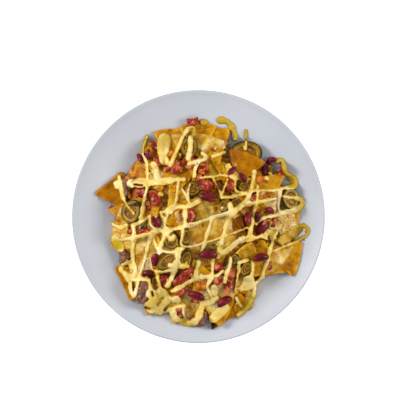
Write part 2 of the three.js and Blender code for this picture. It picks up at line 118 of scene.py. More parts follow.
def plate_rings():
    rings = [(30, FOOT_HEIGHT), (FOOT_INNER - 2, FOOT_HEIGHT), (FOOT_INNER, FOOT_HEIGHT - 0.6)]
    rings += [(FOOT_INNER + 0.6, 0.15), (FOOT_INNER + 1, 0.02), (FOOT_OUTER - 0.8, 0.02)]
    rings += [(FOOT_OUTER, 0.3), (FOOT_OUTER + 1.6, 2.6)]
    for radius in (75, 82, 90, 98, 106, 114, 120, 124):
        rings.append((radius, plate_surface(radius) - RIM_THICKNESS))
    rings += [(126.3, RIM_HEIGHT - 3.0), (126.95, RIM_HEIGHT - 1.8), (126.8, RIM_HEIGHT - 0.7)]
    rings += [(126.1, RIM_HEIGHT - 0.15), (125.0, RIM_HEIGHT - 0.25)]
    for radius in (122, 117, 111, 104, 97, 90, 83, 76, 70, 65, 60, 50, 30):
        rings.append((radius, plate_surface(radius)))
    return rings


def srgb(red, green, blue):
    """A colour as it looks on a screen, out of 255, as the linear colour that a shader takes."""
    linear = []
    for value in (red, green, blue):
        share = value / 255
        linear.append(share / 12.92 if share <= 0.04045 else ((share + 0.055) / 1.055) ** 2.4)
    return (*linear, 1.0)


def new_material(name, **settings):
    """A material and its tree; the sockets of its shader are given by name with _ for a space."""
    material = bpy.data.materials.new(name)
    material.use_nodes = True
    shader = material.node_tree.nodes["Principled BSDF"]
    for key, value in settings.items():
        shader.inputs[key.replace("_", " ")].default_value = value
    return material, material.node_tree


def add_node(tree, kind, inputs=None, **settings):
    """Adds a node with its settings; inputs maps a socket's name or number to a value or a link."""
    made = tree.nodes.new("ShaderNode" + kind)
    for key, value in settings.items():
        setattr(made, key, value)
    for key, value in (inputs or {}).items():
        if isinstance(value, bpy.types.NodeSocket):
            tree.links.new(value, made.inputs[key])
        else:
            made.inputs[key].default_value = value
    return made


def colour_ramp(tree, factor, *stops):
    """A ramp of (place, colour) stops, driven by a socket."""
    ramp = add_node(tree, "ValToRGB", {"Fac": factor})
    elements = ramp.color_ramp.elements
    while len(elements) < len(stops):
        elements.new(0.5)
    for element, (place, colour) in zip(elements, stops):
        element.position = place
        element.color = colour
    return ramp.outputs["Color"]


def blend_colours(tree, factor, first, second, how="MIX"):
    mix = add_node(tree, "Mix", {0: factor, 6: first, 7: second}, data_type="RGBA", blend_type=how)
    return mix.outputs[2]


def object_place(tree):
    return add_node(tree, "TexCoord").outputs["Object"]


def clouds(tree, scale, detail, roughness=0.5, place=None):
    """A cloudy pattern between 0 and 1."""
    inputs = {"Scale": scale, "Detail": detail, "Roughness": roughness}
    return add_node(tree, "TexNoise", {"Vector": place or object_place(tree), **inputs}).outputs["Fac"]


def map_range(tree, value, low, high, to_low=0.0, to_high=1.0, how="LINEAR"):
    inputs = {"Value": value, "From Min": low, "From Max": high, "To Min": to_low, "To Max": to_high}
    return add_node(tree, "MapRange", inputs, interpolation_type=how).outputs["Result"]


def dress(material, colour, relief, strength, depth):
    """Gives a material its colour and the bumps of a relief pattern, whose depth is in mm."""
    tree = material.node_tree
    shader = tree.nodes["Principled BSDF"]
    tree.links.new(colour, shader.inputs["Base Color"])
    bump = add_node(tree, "Bump", {"Height": relief, "Strength": strength, "Distance": depth * MM})
    tree.links.new(bump.outputs["Normal"], shader.inputs["Normal"])
    return material


def glaze_material():
    material, tree = new_material(
        "glaze", Roughness=0.5, Specular_IOR_Level=0.4, Coat_Weight=0.04, Coat_Roughness=0.3
    )
    pooled = colour_ramp(
        tree, clouds(tree, 9, 2), (0.35, srgb(193, 198, 208)), (0.7, srgb(204, 209, 217))
    )
    flat = add_node(tree, "VectorMath", {0: object_place(tree), 1: (1, 1, 0)}, operation="MULTIPLY")
    reach = add_node(tree, "VectorMath", {0: flat.outputs[0]}, operation="LENGTH").outputs["Value"]
    # A faint darker line is painted on the lip, from LIP_STARTS to LIP_ENDS.
    lip = map_range(tree, reach, LIP_STARTS * MM, LIP_ENDS * MM)
    bare = blend_colours(tree, lip, pooled, srgb(176, 181, 190))
    return dress(material, bare, clouds(tree, 55, 3), 0.04, 1.0)


first_radius, first_height = plate_rings()[0]
plate = start_piece(
    "plate_glazed", bpy.ops.mesh.primitive_circle_add, vertices=PLATE_SIDES, radius=first_radius * MM,
    location=(0, 0, first_height * MM),
)
turn_rings(plate_rings())
bpy.ops.mesh.select_all(action="DESELECT")
bpy.ops.object.mode_set(mode="OBJECT")
for edge in plate.data.edges:
    ends = [plate.data.vertices[i].co for i in edge.vertices]
    edge.select = all(abs(math.hypot(*end.xy) - first_radius * MM) < 1e-6 and end.z < 4 * MM for end in ends)
bpy.ops.object.mode_set(mode="EDIT")
bpy.ops.mesh.edge_face_add()
bpy.ops.mesh.poke()
close_mesh()
apply_modifiers(plate, subdivided(1))
bpy.ops.object.transform_apply(location=True, rotation=True, scale=True)
plate.data.materials.append(glaze_material())
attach(plate, "root")
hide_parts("plate")

# --- Core of the heap -------------------------------------------------------------------
# Under the chips that show lie broken chips, crumbs and cheese, pressed into one low mound
# that follows the well of the plate.

HEAP_CENTRE = (2, -9)
HEAP_RADIUS = 91
# How far the three broad and the four finer lobes of its outline stand out.
HEAP_LOBES = 5
HEAP_FINE_LOBES = 1.7
HEAP_CLEARANCE = 0.8
HEAP_THICKNESS = 33
HEAP_SHOULDER = 2.9
HEAP_LUMPS = 1.6
CORE_DEPTH = 1.4
CORE_INSET = 2
# Waves of noise that break up its top: amount, fineness, layer.
CORE_WAVES = [(1.6, 0.22, 0), (1.1, 0.5, 5)]


def heap_radius(angle):
    return HEAP_RADIUS + HEAP_LOBES * math.cos(3 * angle - 0.42) + HEAP_FINE_LOBES * math.cos(4 * angle)


def uneven(x, y, waves):
    """The sum at a place of waves of noise, each an amount, a fineness and a layer."""
    return sum(amount * noise.noise(Vector((x, y, layer)) * fineness) for amount, fineness, layer in waves)


def from_heap_centre(x, y):
    """Distance from the middle of the heap and the heap's own radius in that direction."""
    across, ahead = x - HEAP_CENTRE[0], y - HEAP_CENTRE[1]
    return math.hypot(across, ahead), heap_radius(math.atan2(ahead, across))


def core_floor(x, y):
    return plate_surface(math.hypot(x, y)) + HEAP_CLEARANCE


def core_top(x, y):
    distance, radius = from_heap_centre(x, y)
    swell = max(0.0, 1 - (distance / radius) ** HEAP_SHOULDER)
    lumps = HEAP_LUMPS * math.sin(x / 13) * math.cos(y / 11 + 0.5) * min(1, 3 * swell)
    return core_floor(x, y) + HEAP_THICKNESS * swell + lumps


core = start_piece("heap_core", bpy.ops.mesh.primitive_uv_sphere_add, segments=96, ring_count=48, radius=1)
bpy.ops.object.mode_set(mode="OBJECT")
for vertex in core.data.vertices:
    angle = math.atan2(vertex.co.y, vertex.co.x)
    reach = math.hypot(vertex.co.x, vertex.co.y) * (heap_radius(angle) - CORE_INSET)
    x = HEAP_CENTRE[0] + reach * math.cos(angle)
    y = HEAP_CENTRE[1] + reach * math.sin(angle)
    height = core_floor(x, y)
    if vertex.co.z > 0.01:
        height = max(height, core_top(x, y) - CORE_DEPTH + uneven(x, y, CORE_WAVES))
    vertex.co = Vector((x, y, height)) * MM
bpy.ops.object.mode_set(mode="EDIT")
close_mesh()
apply_modifiers(core)

# --- Chips ------------------------------------------------------------------------------
# Corn tortillas cut into wedges and fried: two straight sides, a bowed far side and rounded
# corners, about 2 mm thick, curled along the sides and blistered where steam lifted the skin.

CHIP_THICKNESS = 2
CHIP_BULGE = 4
CHIP_CURL = 3
CHIP_SINK = 1.5
CHIP_MIDDLE = 0.62
CHIP_RAGGED = 0.7
CHIP_BLISTER = 4.5
CHIP_SKIN = 0.35
# The higher, the sharper the three corners.
CHIP_CORNERS = 11

# Tip x, tip y, heading of the far side, length, width, pitch, roll, lift, in mm and degrees, and
# how pale the chip is fried, where a low value on some chips is painted shade.
CHIPS_BELOW = [
    (-105, 23, 6, 30, 42, 2, 0, 0.5, 0.25),
    (-93, 7, -8, 40, 42, 0, 0, 0, 0.55),
    (-68, 56, -62, 42, 44, 3, 4, 1, 0.32),
    (-57, 78, -48, 40, 42, 0, 0, 0, 0.6),
    (-25, 47, 92, 40, 38, -2, 0, 0, 0.6),
    (1, 54, 92, 38, 40, -2, 0, 0, 0.6),
    (32, 91, -140, 36, 54, 0, 0, 1.5, 0.55),
    (12, 58, -40, 36, 38, 4, -5, 1.5, 0.5),
    (64, -34, -14, 36, 38, 2, 0, 1, 0.5),
    (58, 2, -12, 40, 30, 0, 0, 1, 0.55),
    (13, -115, 55, 43, 40, 0, 0, -1, 0.35),
    (39, -105, 80, 37, 33, 1, 0, -1, 0.3),
    (-87, -51, -30, 34, 42, 0, 0, 0, 0.3),
    (-92, -31, 22, 41, 42, 0, 0, 0.5, 0.6),
    (-90, -8, -20, 40, 40, 0, 0, 0, 0.65),
    (-67, -85, 42, 40, 42, 0, 0, 0, 0.3),
    (-52, -101, 62, 42, 44, 0, 0, 0, 0.5),
    (-25, -110, 84, 42, 44, 0, 0, 0, 0.55),
    (60, -84, 130, 42, 44, 0, 0, 0, 0.25),
    (66, 48, -140, 40, 44, 0, 0, 0.5, 0.35),
    (89, 44, -145, 40, 40, 0, 0, 0.5, 0.5),
    (98, 24, -172, 42, 38, 0, 0, 0.5, 0.6),
]
CHIPS_ABOVE = [
    (38, 30, 70, 32, 40, 17, 0, 9.7, 0.22),
    # The low tones of the next three chips are painted shade: two stand on edge and one lies in a crevice.
    (15, 33, -74, 33, 30, 0, 58, 3, -0.2),
    (36, 10, -68, 36, 32, 0, 56, 2, -0.3),
    (48, -20, -62, 34, 34, 5, 8, 2, 0.05),
    (-6, -40, -64, 38, 36, 2, 0, 2, 0.7),
    (-72, -18, -46, 40, 40, 2, 0, 1.5, 0.6),
    (92, -57, 156, 42, 44, 2, 0, 2, 0.6),
    (-4, -78, -28, 36, 36, 0, 0, 2, 0.6),
    (-18, 16, -24, 42, 44, 0, 4, 2, 0.7),
    (34, -6, 188, 42, 42, 2, -4, 2.5, 0.7),
    (12, 22, -128, 40, 40, 0, 0, 1.5, 0.65),
]
# Broken pieces that stand on edge in the gaps, given in the same way; their dark tones are painted shade.
CHIP_SHARDS = [
    (50, -23, 117, 31, 12, 0, -12, 6, -0.02),
    (21, 4, 105, 33, 9, 0, -12, 5, 0),
    (64, -36, 150, 16, 11, 0, -20, 3, -0.1),
    (20, 61, 135, 15, 7, 0, 20, 3, 0.05),
]
# Rings of chips under the ones that show: how many, radius of their middles, lift.
CHIP_RINGS = [(9, 60, 0), (5, 30, 0.5)]
FILL_LENGTH = 38
FILL_WIDTH = 42
FILL_SEED = 20
# The corner that the oven scorched: x, y, radius, and how much darker it is.
CHARRED = (14, -111, 7, 2.5)


def seeded_shares(seed):
    """An endless row of numbers between 0 and 1, the same one each time."""
    while True:
        seed = (seed * 1664525 + 1013904223) % 4294967296
        yield seed / 4294967296


def fill_chips():
    shares = seeded_shares(FILL_SEED)

    def draw(low, high):
        return low + (high - low) * next(shares)

    chips = []
    for count, radius, lift in CHIP_RINGS:
        for number in range(count):
            angle = (360 / count) * (number + draw(-0.2, 0.2))
            heading = angle + draw(150, 210)
            turn, course = math.radians(angle), math.radians(heading)
            x = HEAP_CENTRE[0] + radius * math.cos(turn) - CHIP_MIDDLE * FILL_LENGTH * math.cos(course)
            y = HEAP_CENTRE[1] + radius * math.sin(turn) - CHIP_MIDDLE * FILL_LENGTH * math.sin(course)
            tone = 0.35 + 0.5 * (number % 3) / 2
            chips.append((x, y, heading, FILL_LENGTH, FILL_WIDTH, draw(-2, 5), draw(-6, 6), lift, tone))
    return chips


def wedge_reach(angle):
    """Distance from a wedge's middle to its rounded outline, for a unit length and width."""
    sides = [((1, 0), 0.38), ((-0.5, 1), 0.31), ((-0.5, -1), 0.31)]
    pressure = 0
    for (normal_x, normal_y), distance in sides:
        push = (normal_x * math.cos(angle) + normal_y * math.sin(angle)) / distance
        pressure += max(0.0, push) ** CHIP_CORNERS
    return pressure ** (-1 / CHIP_CORNERS)


def tortilla_wedge():
    """One flat wedge of unit length and width, in rings of faces so that it can bend."""
    wedge = start_piece("wedge", bpy.ops.mesh.primitive_circle_add, vertices=56, radius=1)
    turn_rings([(share, 0) for share in (1, 0.95, 0.87, 0.76, 0.62, 0.46, 0.3, 0.14)])
    close_mesh()
    edge = wedge.data.attributes.new("edge", "FLOAT", "POINT")
    for vertex in wedge.data.vertices:
        share = math.hypot(vertex.co.x, vertex.co.y)
        angle = math.atan2(vertex.co.y, vertex.co.x)
        reach = share * wedge_reach(angle)
        edge.data[vertex.index].value = min(1.0, (1 - share) / 0.5)
        vertex.co = (CHIP_MIDDLE + reach * math.cos(angle), reach * math.sin(angle), 0)
    return wedge


def chip_lie(tip_x, tip_y, heading, length, width):
    """The plane through a chip's corners on the heap, raised over the dome: (up, middle)."""
    course = math.radians(heading)

    def place(along, across):
        x = tip_x + math.cos(course) * along - math.sin(course) * across
        y = tip_y + math.sin(course) * along + math.cos(course) * across
        return Vector((x, y, core_top(x, y)))

    tip, left, right = place(0, 0), place(length, width / 2), place(length, -width / 2)
    up = (left - tip).cross(tip - right).normalized()
    probes = [(0.35, 0), (0.62, 0), (1, 0), (0.5, 0.25), (0.5, -0.25)]
    depths = [(place(along * length, across * width) - tip).dot(up) for along, across in probes]
    middle = place(CHIP_MIDDLE * length, 0)
    middle.z = tip.z - ((middle.x - tip.x) * up.x + (middle.y - tip.y) * up.y) / up.z
    return up, middle + up * (max(0.0, *depths) - CHIP_SINK)


def copy_of(piece):
    """A copy with a mesh of its own."""
    made = piece.copy()
    made.data = piece.data.copy()
    bpy.context.collection.objects.link(made)
    return made


def lay_chip(number, wedge, tip_x, tip_y, heading, length, width, pitch, roll, lift, tone):
    """A copy of the wedge at one chip's size, blistered, curled and laid on the heap."""
    up, middle = chip_lie(tip_x, tip_y, heading, length, width)
    course = Vector((math.cos(math.radians(heading)), math.sin(math.radians(heading)), 0))
    along = (course - up * course.dot(up)).normalized()
    lie = Matrix((along, up.cross(along), up)).transposed()
    lie = lie @ Matrix.Rotation(-math.radians(pitch), 3, "Y") @ Matrix.Rotation(math.radians(roll), 3, "X")
    chip = copy_of(wedge)
    shade = chip.data.attributes.new("shade", "FLOAT", "POINT")
    for index, vertex in enumerate(chip.data.vertices):
        ahead, across = vertex.co.x, 2 * vertex.co.y
        seed = Vector((ahead * length, across * width / 2, 37 * number))
        bow = CHIP_BULGE * max(0.0, 1 - across**2) * ahead**2
        ragged = CHIP_RAGGED * noise.noise(seed * 0.16)
        blister = CHIP_BLISTER * max(0.0, noise.noise(seed * 0.2 + Vector((9, 3, 1))) - 0.18)
        skin = CHIP_SKIN * noise.noise(seed * 0.55)
        local = Vector((
            ahead * length + bow + ragged - CHIP_MIDDLE * length,
            across * width / 2 + CHIP_RAGGED * noise.noise(seed * 0.16 + Vector((0, 0, 7))),
            CHIP_CURL * (across**2 - 0.3) + blister + skin,
        ))
        point = middle + lie @ local
        point.z += lift
        point.z = max(point.z, core_floor(point.x, point.y) + CHIP_THICKNESS / 2)
        vertex.co = point * MM
        char = max(0.0, 1 - math.hypot(point.x - CHARRED[0], point.y - CHARRED[1]) / CHARRED[2])
        shade.data[index].value = tone - CHARRED[3] * char
    return chip


wedge = tortilla_wedge()
laid = []
for number, chip in enumerate([*fill_chips(), *CHIPS_BELOW, *CHIPS_ABOVE, *CHIP_SHARDS]):
    laid.append(lay_chip(number, wedge, *chip))
bpy.data.objects.remove(wedge)


def join_pieces(name, parts):
    bpy.ops.object.select_all(action="DESELECT")
    for part in parts:
        part.select_set(True)
    bpy.context.view_layer.objects.active = parts[0]
    bpy.ops.object.join()
    parts[0].name = name
    parts[0].data.name = name
    return parts[0]


def times_plus(tree, value, factor, added):
    inputs = {0: value, 1: factor, 2: added}
    return add_node(tree, "Math", inputs, operation="MULTIPLY_ADD").outputs[0]


def painted(tree, name):
    """A value that was given to each vertex of a piece."""
    return add_node(tree, "Attribute", attribute_name=name).outputs["Fac"]


def toasted_group():
    """Browned spots as a hot oven leaves them: a mask of patches broken up by finer specks."""
    group = bpy.data.node_groups.new("toasted_spots", "ShaderNodeTree")
    for name, value in (("Patch Size", 60.0), ("Amount", 0.5), ("Speck Size", 400.0)):
        socket = group.interface.new_socket(name, in_out="INPUT", socket_type="NodeSocketFloat")
        socket.default_value = value
    group.interface.new_socket("Mask", in_out="OUTPUT", socket_type="NodeSocketFloat")
    given = group.nodes.new("NodeGroupInput").outputs
    patches = clouds(group, given["Patch Size"], 3)
    specks = clouds(group, given["Speck Size"], 2)
    floor = add_node(group, "Math", {0: 1.0, 1: given["Amount"]}, operation="SUBTRACT").outputs[0]
    mask = map_range(group, times_plus(group, specks, 0.35, patches), floor, 1.0, how="SMOOTHSTEP")
    out = group.nodes.new("NodeGroupOutput")
    group.links.new(mask, out.inputs["Mask"])
    return group


TOASTED = toasted_group()


def toasted(tree, patch_size, amount, speck_size):
    inputs = {"Patch Size": patch_size, "Amount": amount, "Speck Size": speck_size}
    return add_node(tree, "Group", inputs, node_tree=TOASTED).outputs["Mask"]


def corn_material():
    material, tree = new_material("fried_corn", Roughness=0.4, Specular_IOR_Level=0.08)
    mottle = times_plus(tree, clouds(tree, 70, 4, 0.65), 0.7, painted(tree, "shade"))
    body = colour_ramp(
        tree, add_node(tree, "Math", {0: mottle, 1: 0.62}, operation="MULTIPLY").outputs[0],
        (0.0, srgb(14, 8, 4)), (0.12, srgb(92, 42, 0)), (0.27, srgb(162, 90, 0)), (0.45, srgb(196, 132, 2)),
        (0.68, srgb(214, 162, 24)), (0.95, srgb(230, 192, 66)),
    )
    browned = blend_colours(tree, toasted(tree, 110, 0.5, 620), body, srgb(132, 68, 0))
    rind = map_range(tree, painted(tree, "edge"), 0.0, 0.35, 1.35, 1.0)
    trimmed = blend_colours(tree, 1.0, browned, rind, "MULTIPLY")
    blisters = add_node(tree, "TexVoronoi", {"Vector": object_place(tree), "Scale": 260}, feature="SMOOTH_F1")
    relief = times_plus(tree, clouds(tree, 900, 3), 0.5, blisters.outputs["Distance"])
    return dress(material, trimmed, relief, 0.5, 0.6)


def crumb_material():
    material, tree = new_material("crumbs", Roughness=0.55, Specular_IOR_Level=0.25)
    grit = clouds(tree, 240, 4, 0.7)
    body = colour_ramp(
        tree, grit, (0.34, srgb(108, 54, 0)), (0.5, srgb(176, 112, 20)), (0.66, srgb(220, 170, 74))
    )
    return dress(material, body, grit, 0.8, 1.5)


chips = join_pieces("chips", laid)
apply_modifiers(chips, ("SOLIDIFY", {"thickness": CHIP_THICKNESS * MM, "offset": 0}))
chips.data.materials.append(corn_material())
core.data.materials.append(crumb_material())
for piece in (chips, core):
    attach(piece, "root")
    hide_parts("chip_heap")

# --- Melted cheese ----------------------------------------------------------------------
# Grated cheese melted over the chips in the oven: a thin skin that bridges the small gaps,
# thickens over the chips it caught and tapers to nothing at the edge of each patch.

# Patches: x, y, half width, half depth, strength.
CHEESE_PATCHES = [
    (12, -8, 40, 30, 1.0),
    (-28, 82, 20, 12, 0.8),
    (12, 80, 26, 16, 0.9),
    (86, -12, 18, 18, 1.1),
    (84, -46, 20, 18, 1.0),
    (0, -86, 34, 24, 1.1),
    (-68, -16, 24, 30, 0.9),
    (-42, -46, 30, 28, 0.9),
    (-42, 38, 18, 12, 0.9),
    (74, 22, 18, 14, 0.7),
    (34, -64, 24, 18, 0.9),
    (-50, -84, 26, 20, 1.0),
]
# Where chips stay bare: x, y, radius.
CHEESE_BARE = [
    (51, 50, 19), (-94, 23, 14), (-60, 48, 14), (16, 22, 9), (41, -9, 10), (50, -86, 15), (14, -108, 8),
    (68, 36, 12), (21, 48, 8), (-80, -62, 8), (57, 4, 6), (6, -8, 3), (-88, 6, 8),
]
# The dome that steam blew in the cheese: x, y, radius, height.
BLISTER = (2, 5, 8, 6.5)
CHEESE_CELL = 1.5
CHEESE_LOW = (-108, -118)
CHEESE_CELLS = 148
CHEESE_THICKNESS = 1.3
CHEESE_SHELL = 0.9
# How deep its edge tucks under, how far it reaches past the heap and how fast it fades there,
# how far it sinks into a chip's face, and the drop at a chip's rim from which it comes away.
CHEESE_TUCK = 1.6
CHEESE_REACH = 4
CHEESE_FADE = 0.12
CHEESE_SINK = 0.2
CHEESE_RIM_DROP = 0.8
# Waves of noise in its strength, given as the core's are.
CHEESE_WAVES = [(0.55, 0.075, 0), (0.3, 0.2, 8)]
# Its strength away from all patches, what a bare place takes off it, the strengths between which
# the cheese grows from nothing to its full thickness, and the one below which it is cut away.
CHEESE_NO_PATCH = -0.32
CHEESE_BARE_LOSS = 1.6
CHEESE_THIN = -0.05
CHEESE_FULL = 0.4
CHEESE_BARE_BELOW = -0.12
# The height from which what lies at a place is looked up.
PROBE_HEIGHT = 200


def tree_of(*pieces):
    """A search tree over the joined faces of pieces that lie at the origin."""
    vertices, polygons = [], []
    for piece in pieces:
        start = len(vertices)
        vertices += [vertex.co.copy() for vertex in piece.data.vertices]
        polygons += [[start + i for i in polygon.vertices] for polygon in piece.data.polygons]
    return BVHTree.FromPolygons(vertices, polygons)


def topmost(tree, x, y):
    """The topmost point of a tree at a place, or None beside it."""
    return tree.ray_cast(Vector((x, y, PROBE_HEIGHT)) * MM, Vector((0, 0, -1)))[0]


def height_over(tree, x, y):
    """Height in mm of the topmost surface at a place, or of the plate where nothing lies."""
    hit = topmost(tree, x, y)
    plate_height = plate_surface(math.hypot(x, y))
    return max(plate_height, hit.z / MM) if hit else plate_height


def soften(field, rounds):
    """Averages a field of heights with its neighbours."""
    for _ in range(rounds):
        padded = np.pad(field, 1, mode="edge")
        field = (
            4 * field + 2 * (padded[:-2, 1:-1] + padded[2:, 1:-1] + padded[1:-1, :-2] + padded[1:-1, 2:])
            + padded[:-2, :-2] + padded[:-2, 2:] + padded[2:, :-2] + padded[2:, 2:]
        ) / 16
    return field


def cheese_strength(x, y):
    strength = CHEESE_NO_PATCH
    for patch_x, patch_y, half_width, half_depth, power in CHEESE_PATCHES:
        away = ((x - patch_x) / half_width) ** 2 + ((y - patch_y) / half_depth) ** 2
        strength = max(strength, power * (1 - away) * 0.7 - 0.05)
    strength += uneven(x, y, CHEESE_WAVES)
    for bare_x, bare_y, radius in CHEESE_BARE:
        strength -= CHEESE_BARE_LOSS * max(0.0, 1 - math.hypot(x - bare_x, y - bare_y) / radius)
    return strength


def blister_rise(x, y):
    """Height of the top of the steam blister, and zero round it."""
    away = math.hypot(x - BLISTER[0], y - BLISTER[1]) / BLISTER[2]
    return core_top(x, y) + 2 + BLISTER[3] * math.sqrt(1 - away**2) if away < 1 else 0


def heap_margin(x, y):
    distance, radius = from_heap_centre(x, y)
    return radius + CHEESE_REACH - distance


def grid_spots(low, cell, cells):
    """The places of a square grid, row by row, from its low corner."""
    steps = range(cells + 1)
    return [[(low[0] + cell * i, low[1] + cell * j) for i in steps] for j in steps]


def over_spots(spots, measure):
    return np.array([[measure(x, y) for x, y in row] for row in spots])


def lay_skin(name, spots, heights, bare, shell, **marks):
    """A skin over a grid, open where it is bare, with a value for each vertex under each mark's name."""
    cells = len(spots) - 1
    width = (spots[0][-1][0] - spots[0][0][0]) * MM
    skin = start_piece(
        name, bpy.ops.mesh.primitive_grid_add, x_subdivisions=cells, y_subdivisions=cells, size=width
    )
    bpy.ops.mesh.select_mode(type="VERT")
    bpy.ops.mesh.select_all(action="DESELECT")
    bpy.ops.object.mode_set(mode="OBJECT")
    for vertex in skin.data.vertices:
        j, i = divmod(vertex.index, cells + 1)
        vertex.co = Vector((*spots[j][i], heights[j][i])) * MM
        vertex.select = bool(bare[j][i])
    for mark, values in marks.items():
        skin.data.attributes.new(mark, "FLOAT", "POINT").data.foreach_set("value", values.ravel())
    bpy.ops.object.mode_set(mode="EDIT")
    bpy.ops.mesh.delete(type="VERT")
    bpy.ops.object.mode_set(mode="OBJECT")
    apply_modifiers(
        skin,
        ("SOLIDIFY", {"thickness": shell * MM, "offset": -1}),
        ("SMOOTH", {"factor": 0.5, "iterations": 2}),
    )
    return skin


spots = grid_spots(CHEESE_LOW, CHEESE_CELL, CHEESE_CELLS)
chip_tree = tree_of(chips, core)
lying = over_spots(spots, lambda x, y: height_over(chip_tree, x, y))
strength = over_spots(spots, cheese_strength)
strength = np.minimum(strength, CHEESE_FADE * over_spots(spots, heap_margin) - 0.1)
cover = np.clip((strength - CHEESE_THIN) / (CHEESE_FULL - CHEESE_THIN), 0, 1)
cover = cover * cover * (3 - 2 * cover)
draped = soften(lying, 4)
rim_drop = np.maximum(lying - draped - CHEESE_RIM_DROP, 0)
draped = np.maximum(draped, lying - CHEESE_SINK - 0.8 * rim_drop)
skin_height = lying + (draped - lying + CHEESE_THICKNESS) * cover - CHEESE_TUCK * (1 - cover) ** 2
skin_height = np.maximum(skin_height, over_spots(spots, blister_rise))
cheese = lay_skin(
    "melted_cheese", spots, skin_height, strength < CHEESE_BARE_BELOW, CHEESE_SHELL,
    cover=cover.astype(np.float32),
)


def cheese_material():
    material, tree = new_material(
        "melted_cheese", Roughness=0.36, Specular_IOR_Level=0.16, Coat_Weight=0.05, Coat_Roughness=0.2,
    )
    cloud = clouds(tree, 85, 2)
    thick = colour_ramp(
        tree, times_plus(tree, clouds(tree, 28, 2), 0.5, cloud),
        (0.5, srgb(160, 104, 8)), (0.62, srgb(209, 159, 40)), (0.74, srgb(232, 197, 92)),
        (0.86, srgb(238, 214, 138)), (0.96, srgb(248, 232, 182)),
    )
    body = blend_colours(tree, painted(tree, "cover"), srgb(188, 124, 4), thick)
    browned = blend_colours(tree, toasted(tree, 95, 0.5, 460), body, srgb(164, 98, 10))
    return dress(material, browned, times_plus(tree, cloud, 2.0, clouds(tree, 360, 3)), 0.4, 1.0)


cheese.data.materials.append(cheese_material())
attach(cheese, "root")
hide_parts("chip_heap")

# --- Kidney beans -----------------------------------------------------------------------
# Cooked dark red kidney beans, each a bent egg with a tight glossy skin. They lie loose on
# the heap, and the sauce runs round them.


def cad_names(prefix):
    """The CAD nodes whose names start with a prefix, in the order of their numbers."""
    names = [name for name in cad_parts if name.startswith(prefix)]
    return sorted(names, key=lambda name: int(name.split("_")[-1]))


def merged_copy(name):
    """A copy of a CAD node, free of it, with its loose triangles merged."""
    copied = copy_of(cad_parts[name])
    copied.parent = None
    copied.matrix_world = Matrix.Identity(4)
    copied.data.materials.clear()
    select_only(copied)
    bpy.ops.object.mode_set(mode="EDIT")
    bpy.ops.mesh.select_all(action="SELECT")
    bpy.ops.mesh.remove_doubles(threshold=0.00001)
    bpy.ops.object.mode_set(mode="OBJECT")
    return copied


def vertex_places(piece):
    return np.array([vertex.co for vertex in piece.data.vertices])


def mesh_box(piece):
    places = vertex_places(piece)
    return places.min(axis=0), places.max(axis=0)


def swell_back(piece, box_before):
    """Stretches a piece to the size it had before it was smoothed."""
    (low, high), (low_before, high_before) = mesh_box(piece), box_before
    scaled = (vertex_places(piece) - low) / (high - low) * (high_before - low_before) + low_before
    piece.data.vertices.foreach_set("co", scaled.astype(np.float32).ravel())


def round_off(piece, levels):
    box_before = mesh_box(piece)
    apply_modifiers(piece, subdivided(levels))
    swell_back(piece, box_before)


def shape_nodes(name, nodes, shape):
    """Shapes a copy of each CAD node and joins the copies into one piece."""
    parts = [merged_copy(node) for node in nodes]
    for part in parts:
        shape(part)
    return join_pieces(name, parts)


def bean_material():
    material, tree = new_material(
        "bean_skin", Roughness=0.34, Specular_IOR_Level=0.16, Coat_Weight=0.1, Coat_Roughness=0.14,
    )
    body = colour_ramp(
        tree, clouds(tree, 110, 3),
        (0.3, srgb(64, 0, 10)), (0.55, srgb(114, 14, 30)), (0.8, srgb(150, 42, 54)),
    )
    return dress(material, body, clouds(tree, 500, 2), 0.12, 0.5)


bean_names = cad_names("bean_")
beans = shape_nodes("kidney_beans", bean_names, lambda bean: round_off(bean, 2))
beans.data.materials.append(bean_material())
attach(beans, "root")
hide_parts(*bean_names)

# --- Tomato and red pepper --------------------------------------------------------------
# Tomato flesh cut in uneven dice with a few strips of red pepper, wet, darker on the skin side,
# and strewn over the melted cheese.

# Waves of noise in its faces: size, amount.
TOMATO_WAVES = [(4.2, 1.6), (1.8, 0.5)]


def tomato_material():
    material, tree = new_material(
        "tomato_flesh", Roughness=0.32, Specular_IOR_Level=0.2, Subsurface_Weight=0.1,
        Subsurface_Scale=0.003, Coat_Weight=0.14, Coat_Roughness=0.12,
    )
    # The palest stop of this ramp is painted highlight.
    body = colour_ramp(
        tree, clouds(tree, 130, 4, 0.6),
        (0.34, srgb(86, 4, 0)), (0.46, srgb(136, 22, 6)), (0.57, srgb(164, 46, 20)),
        (0.66, srgb(206, 116, 68)),
    )
    # Cream smears: partly cheese smeared on the dice, partly painted highlight.
    smears_and_highlights = map_range(tree, clouds(tree, 210, 2), 0.56, 0.68, 0.0, 0.6)
    smeared_and_highlit = blend_colours(tree, smears_and_highlights, body, srgb(232, 168, 96))
    return dress(material, smeared_and_highlit, clouds(tree, 420, 3), 0.5, 1.0)


def roughen(piece, *waves):
    """Pushes a piece's surface in and out by waves of noise, each a size and an amount in mm."""
    for size, amount in waves:
        places = [vertex.co.copy() for vertex in piece.data.vertices]
        normals = [vertex.normal.copy() for vertex in piece.data.vertices]
        for vertex, place, normal in zip(piece.data.vertices, places, normals):
            vertex.co = place + normal * (amount * MM * noise.noise(place / (size * MM)))


def cut_die(piece):
    """Divides a block finely and wears its edges, so that its cut faces stay flat but uneven."""
    box_before = mesh_box(piece)
    apply_modifiers(
        piece,
        subdivided(3, subdivision_type="SIMPLE"),
        ("SMOOTH", {"factor": 0.5, "iterations": 8}),
    )
    swell_back(piece, box_before)
    roughen(piece, *TOMATO_WAVES)


tomato_names = cad_names("tomato_")
tomato = shape_nodes("tomato_dice", tomato_names, cut_die)
tomato.data.materials.append(tomato_material())
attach(tomato, "root")
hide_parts(*tomato_names)

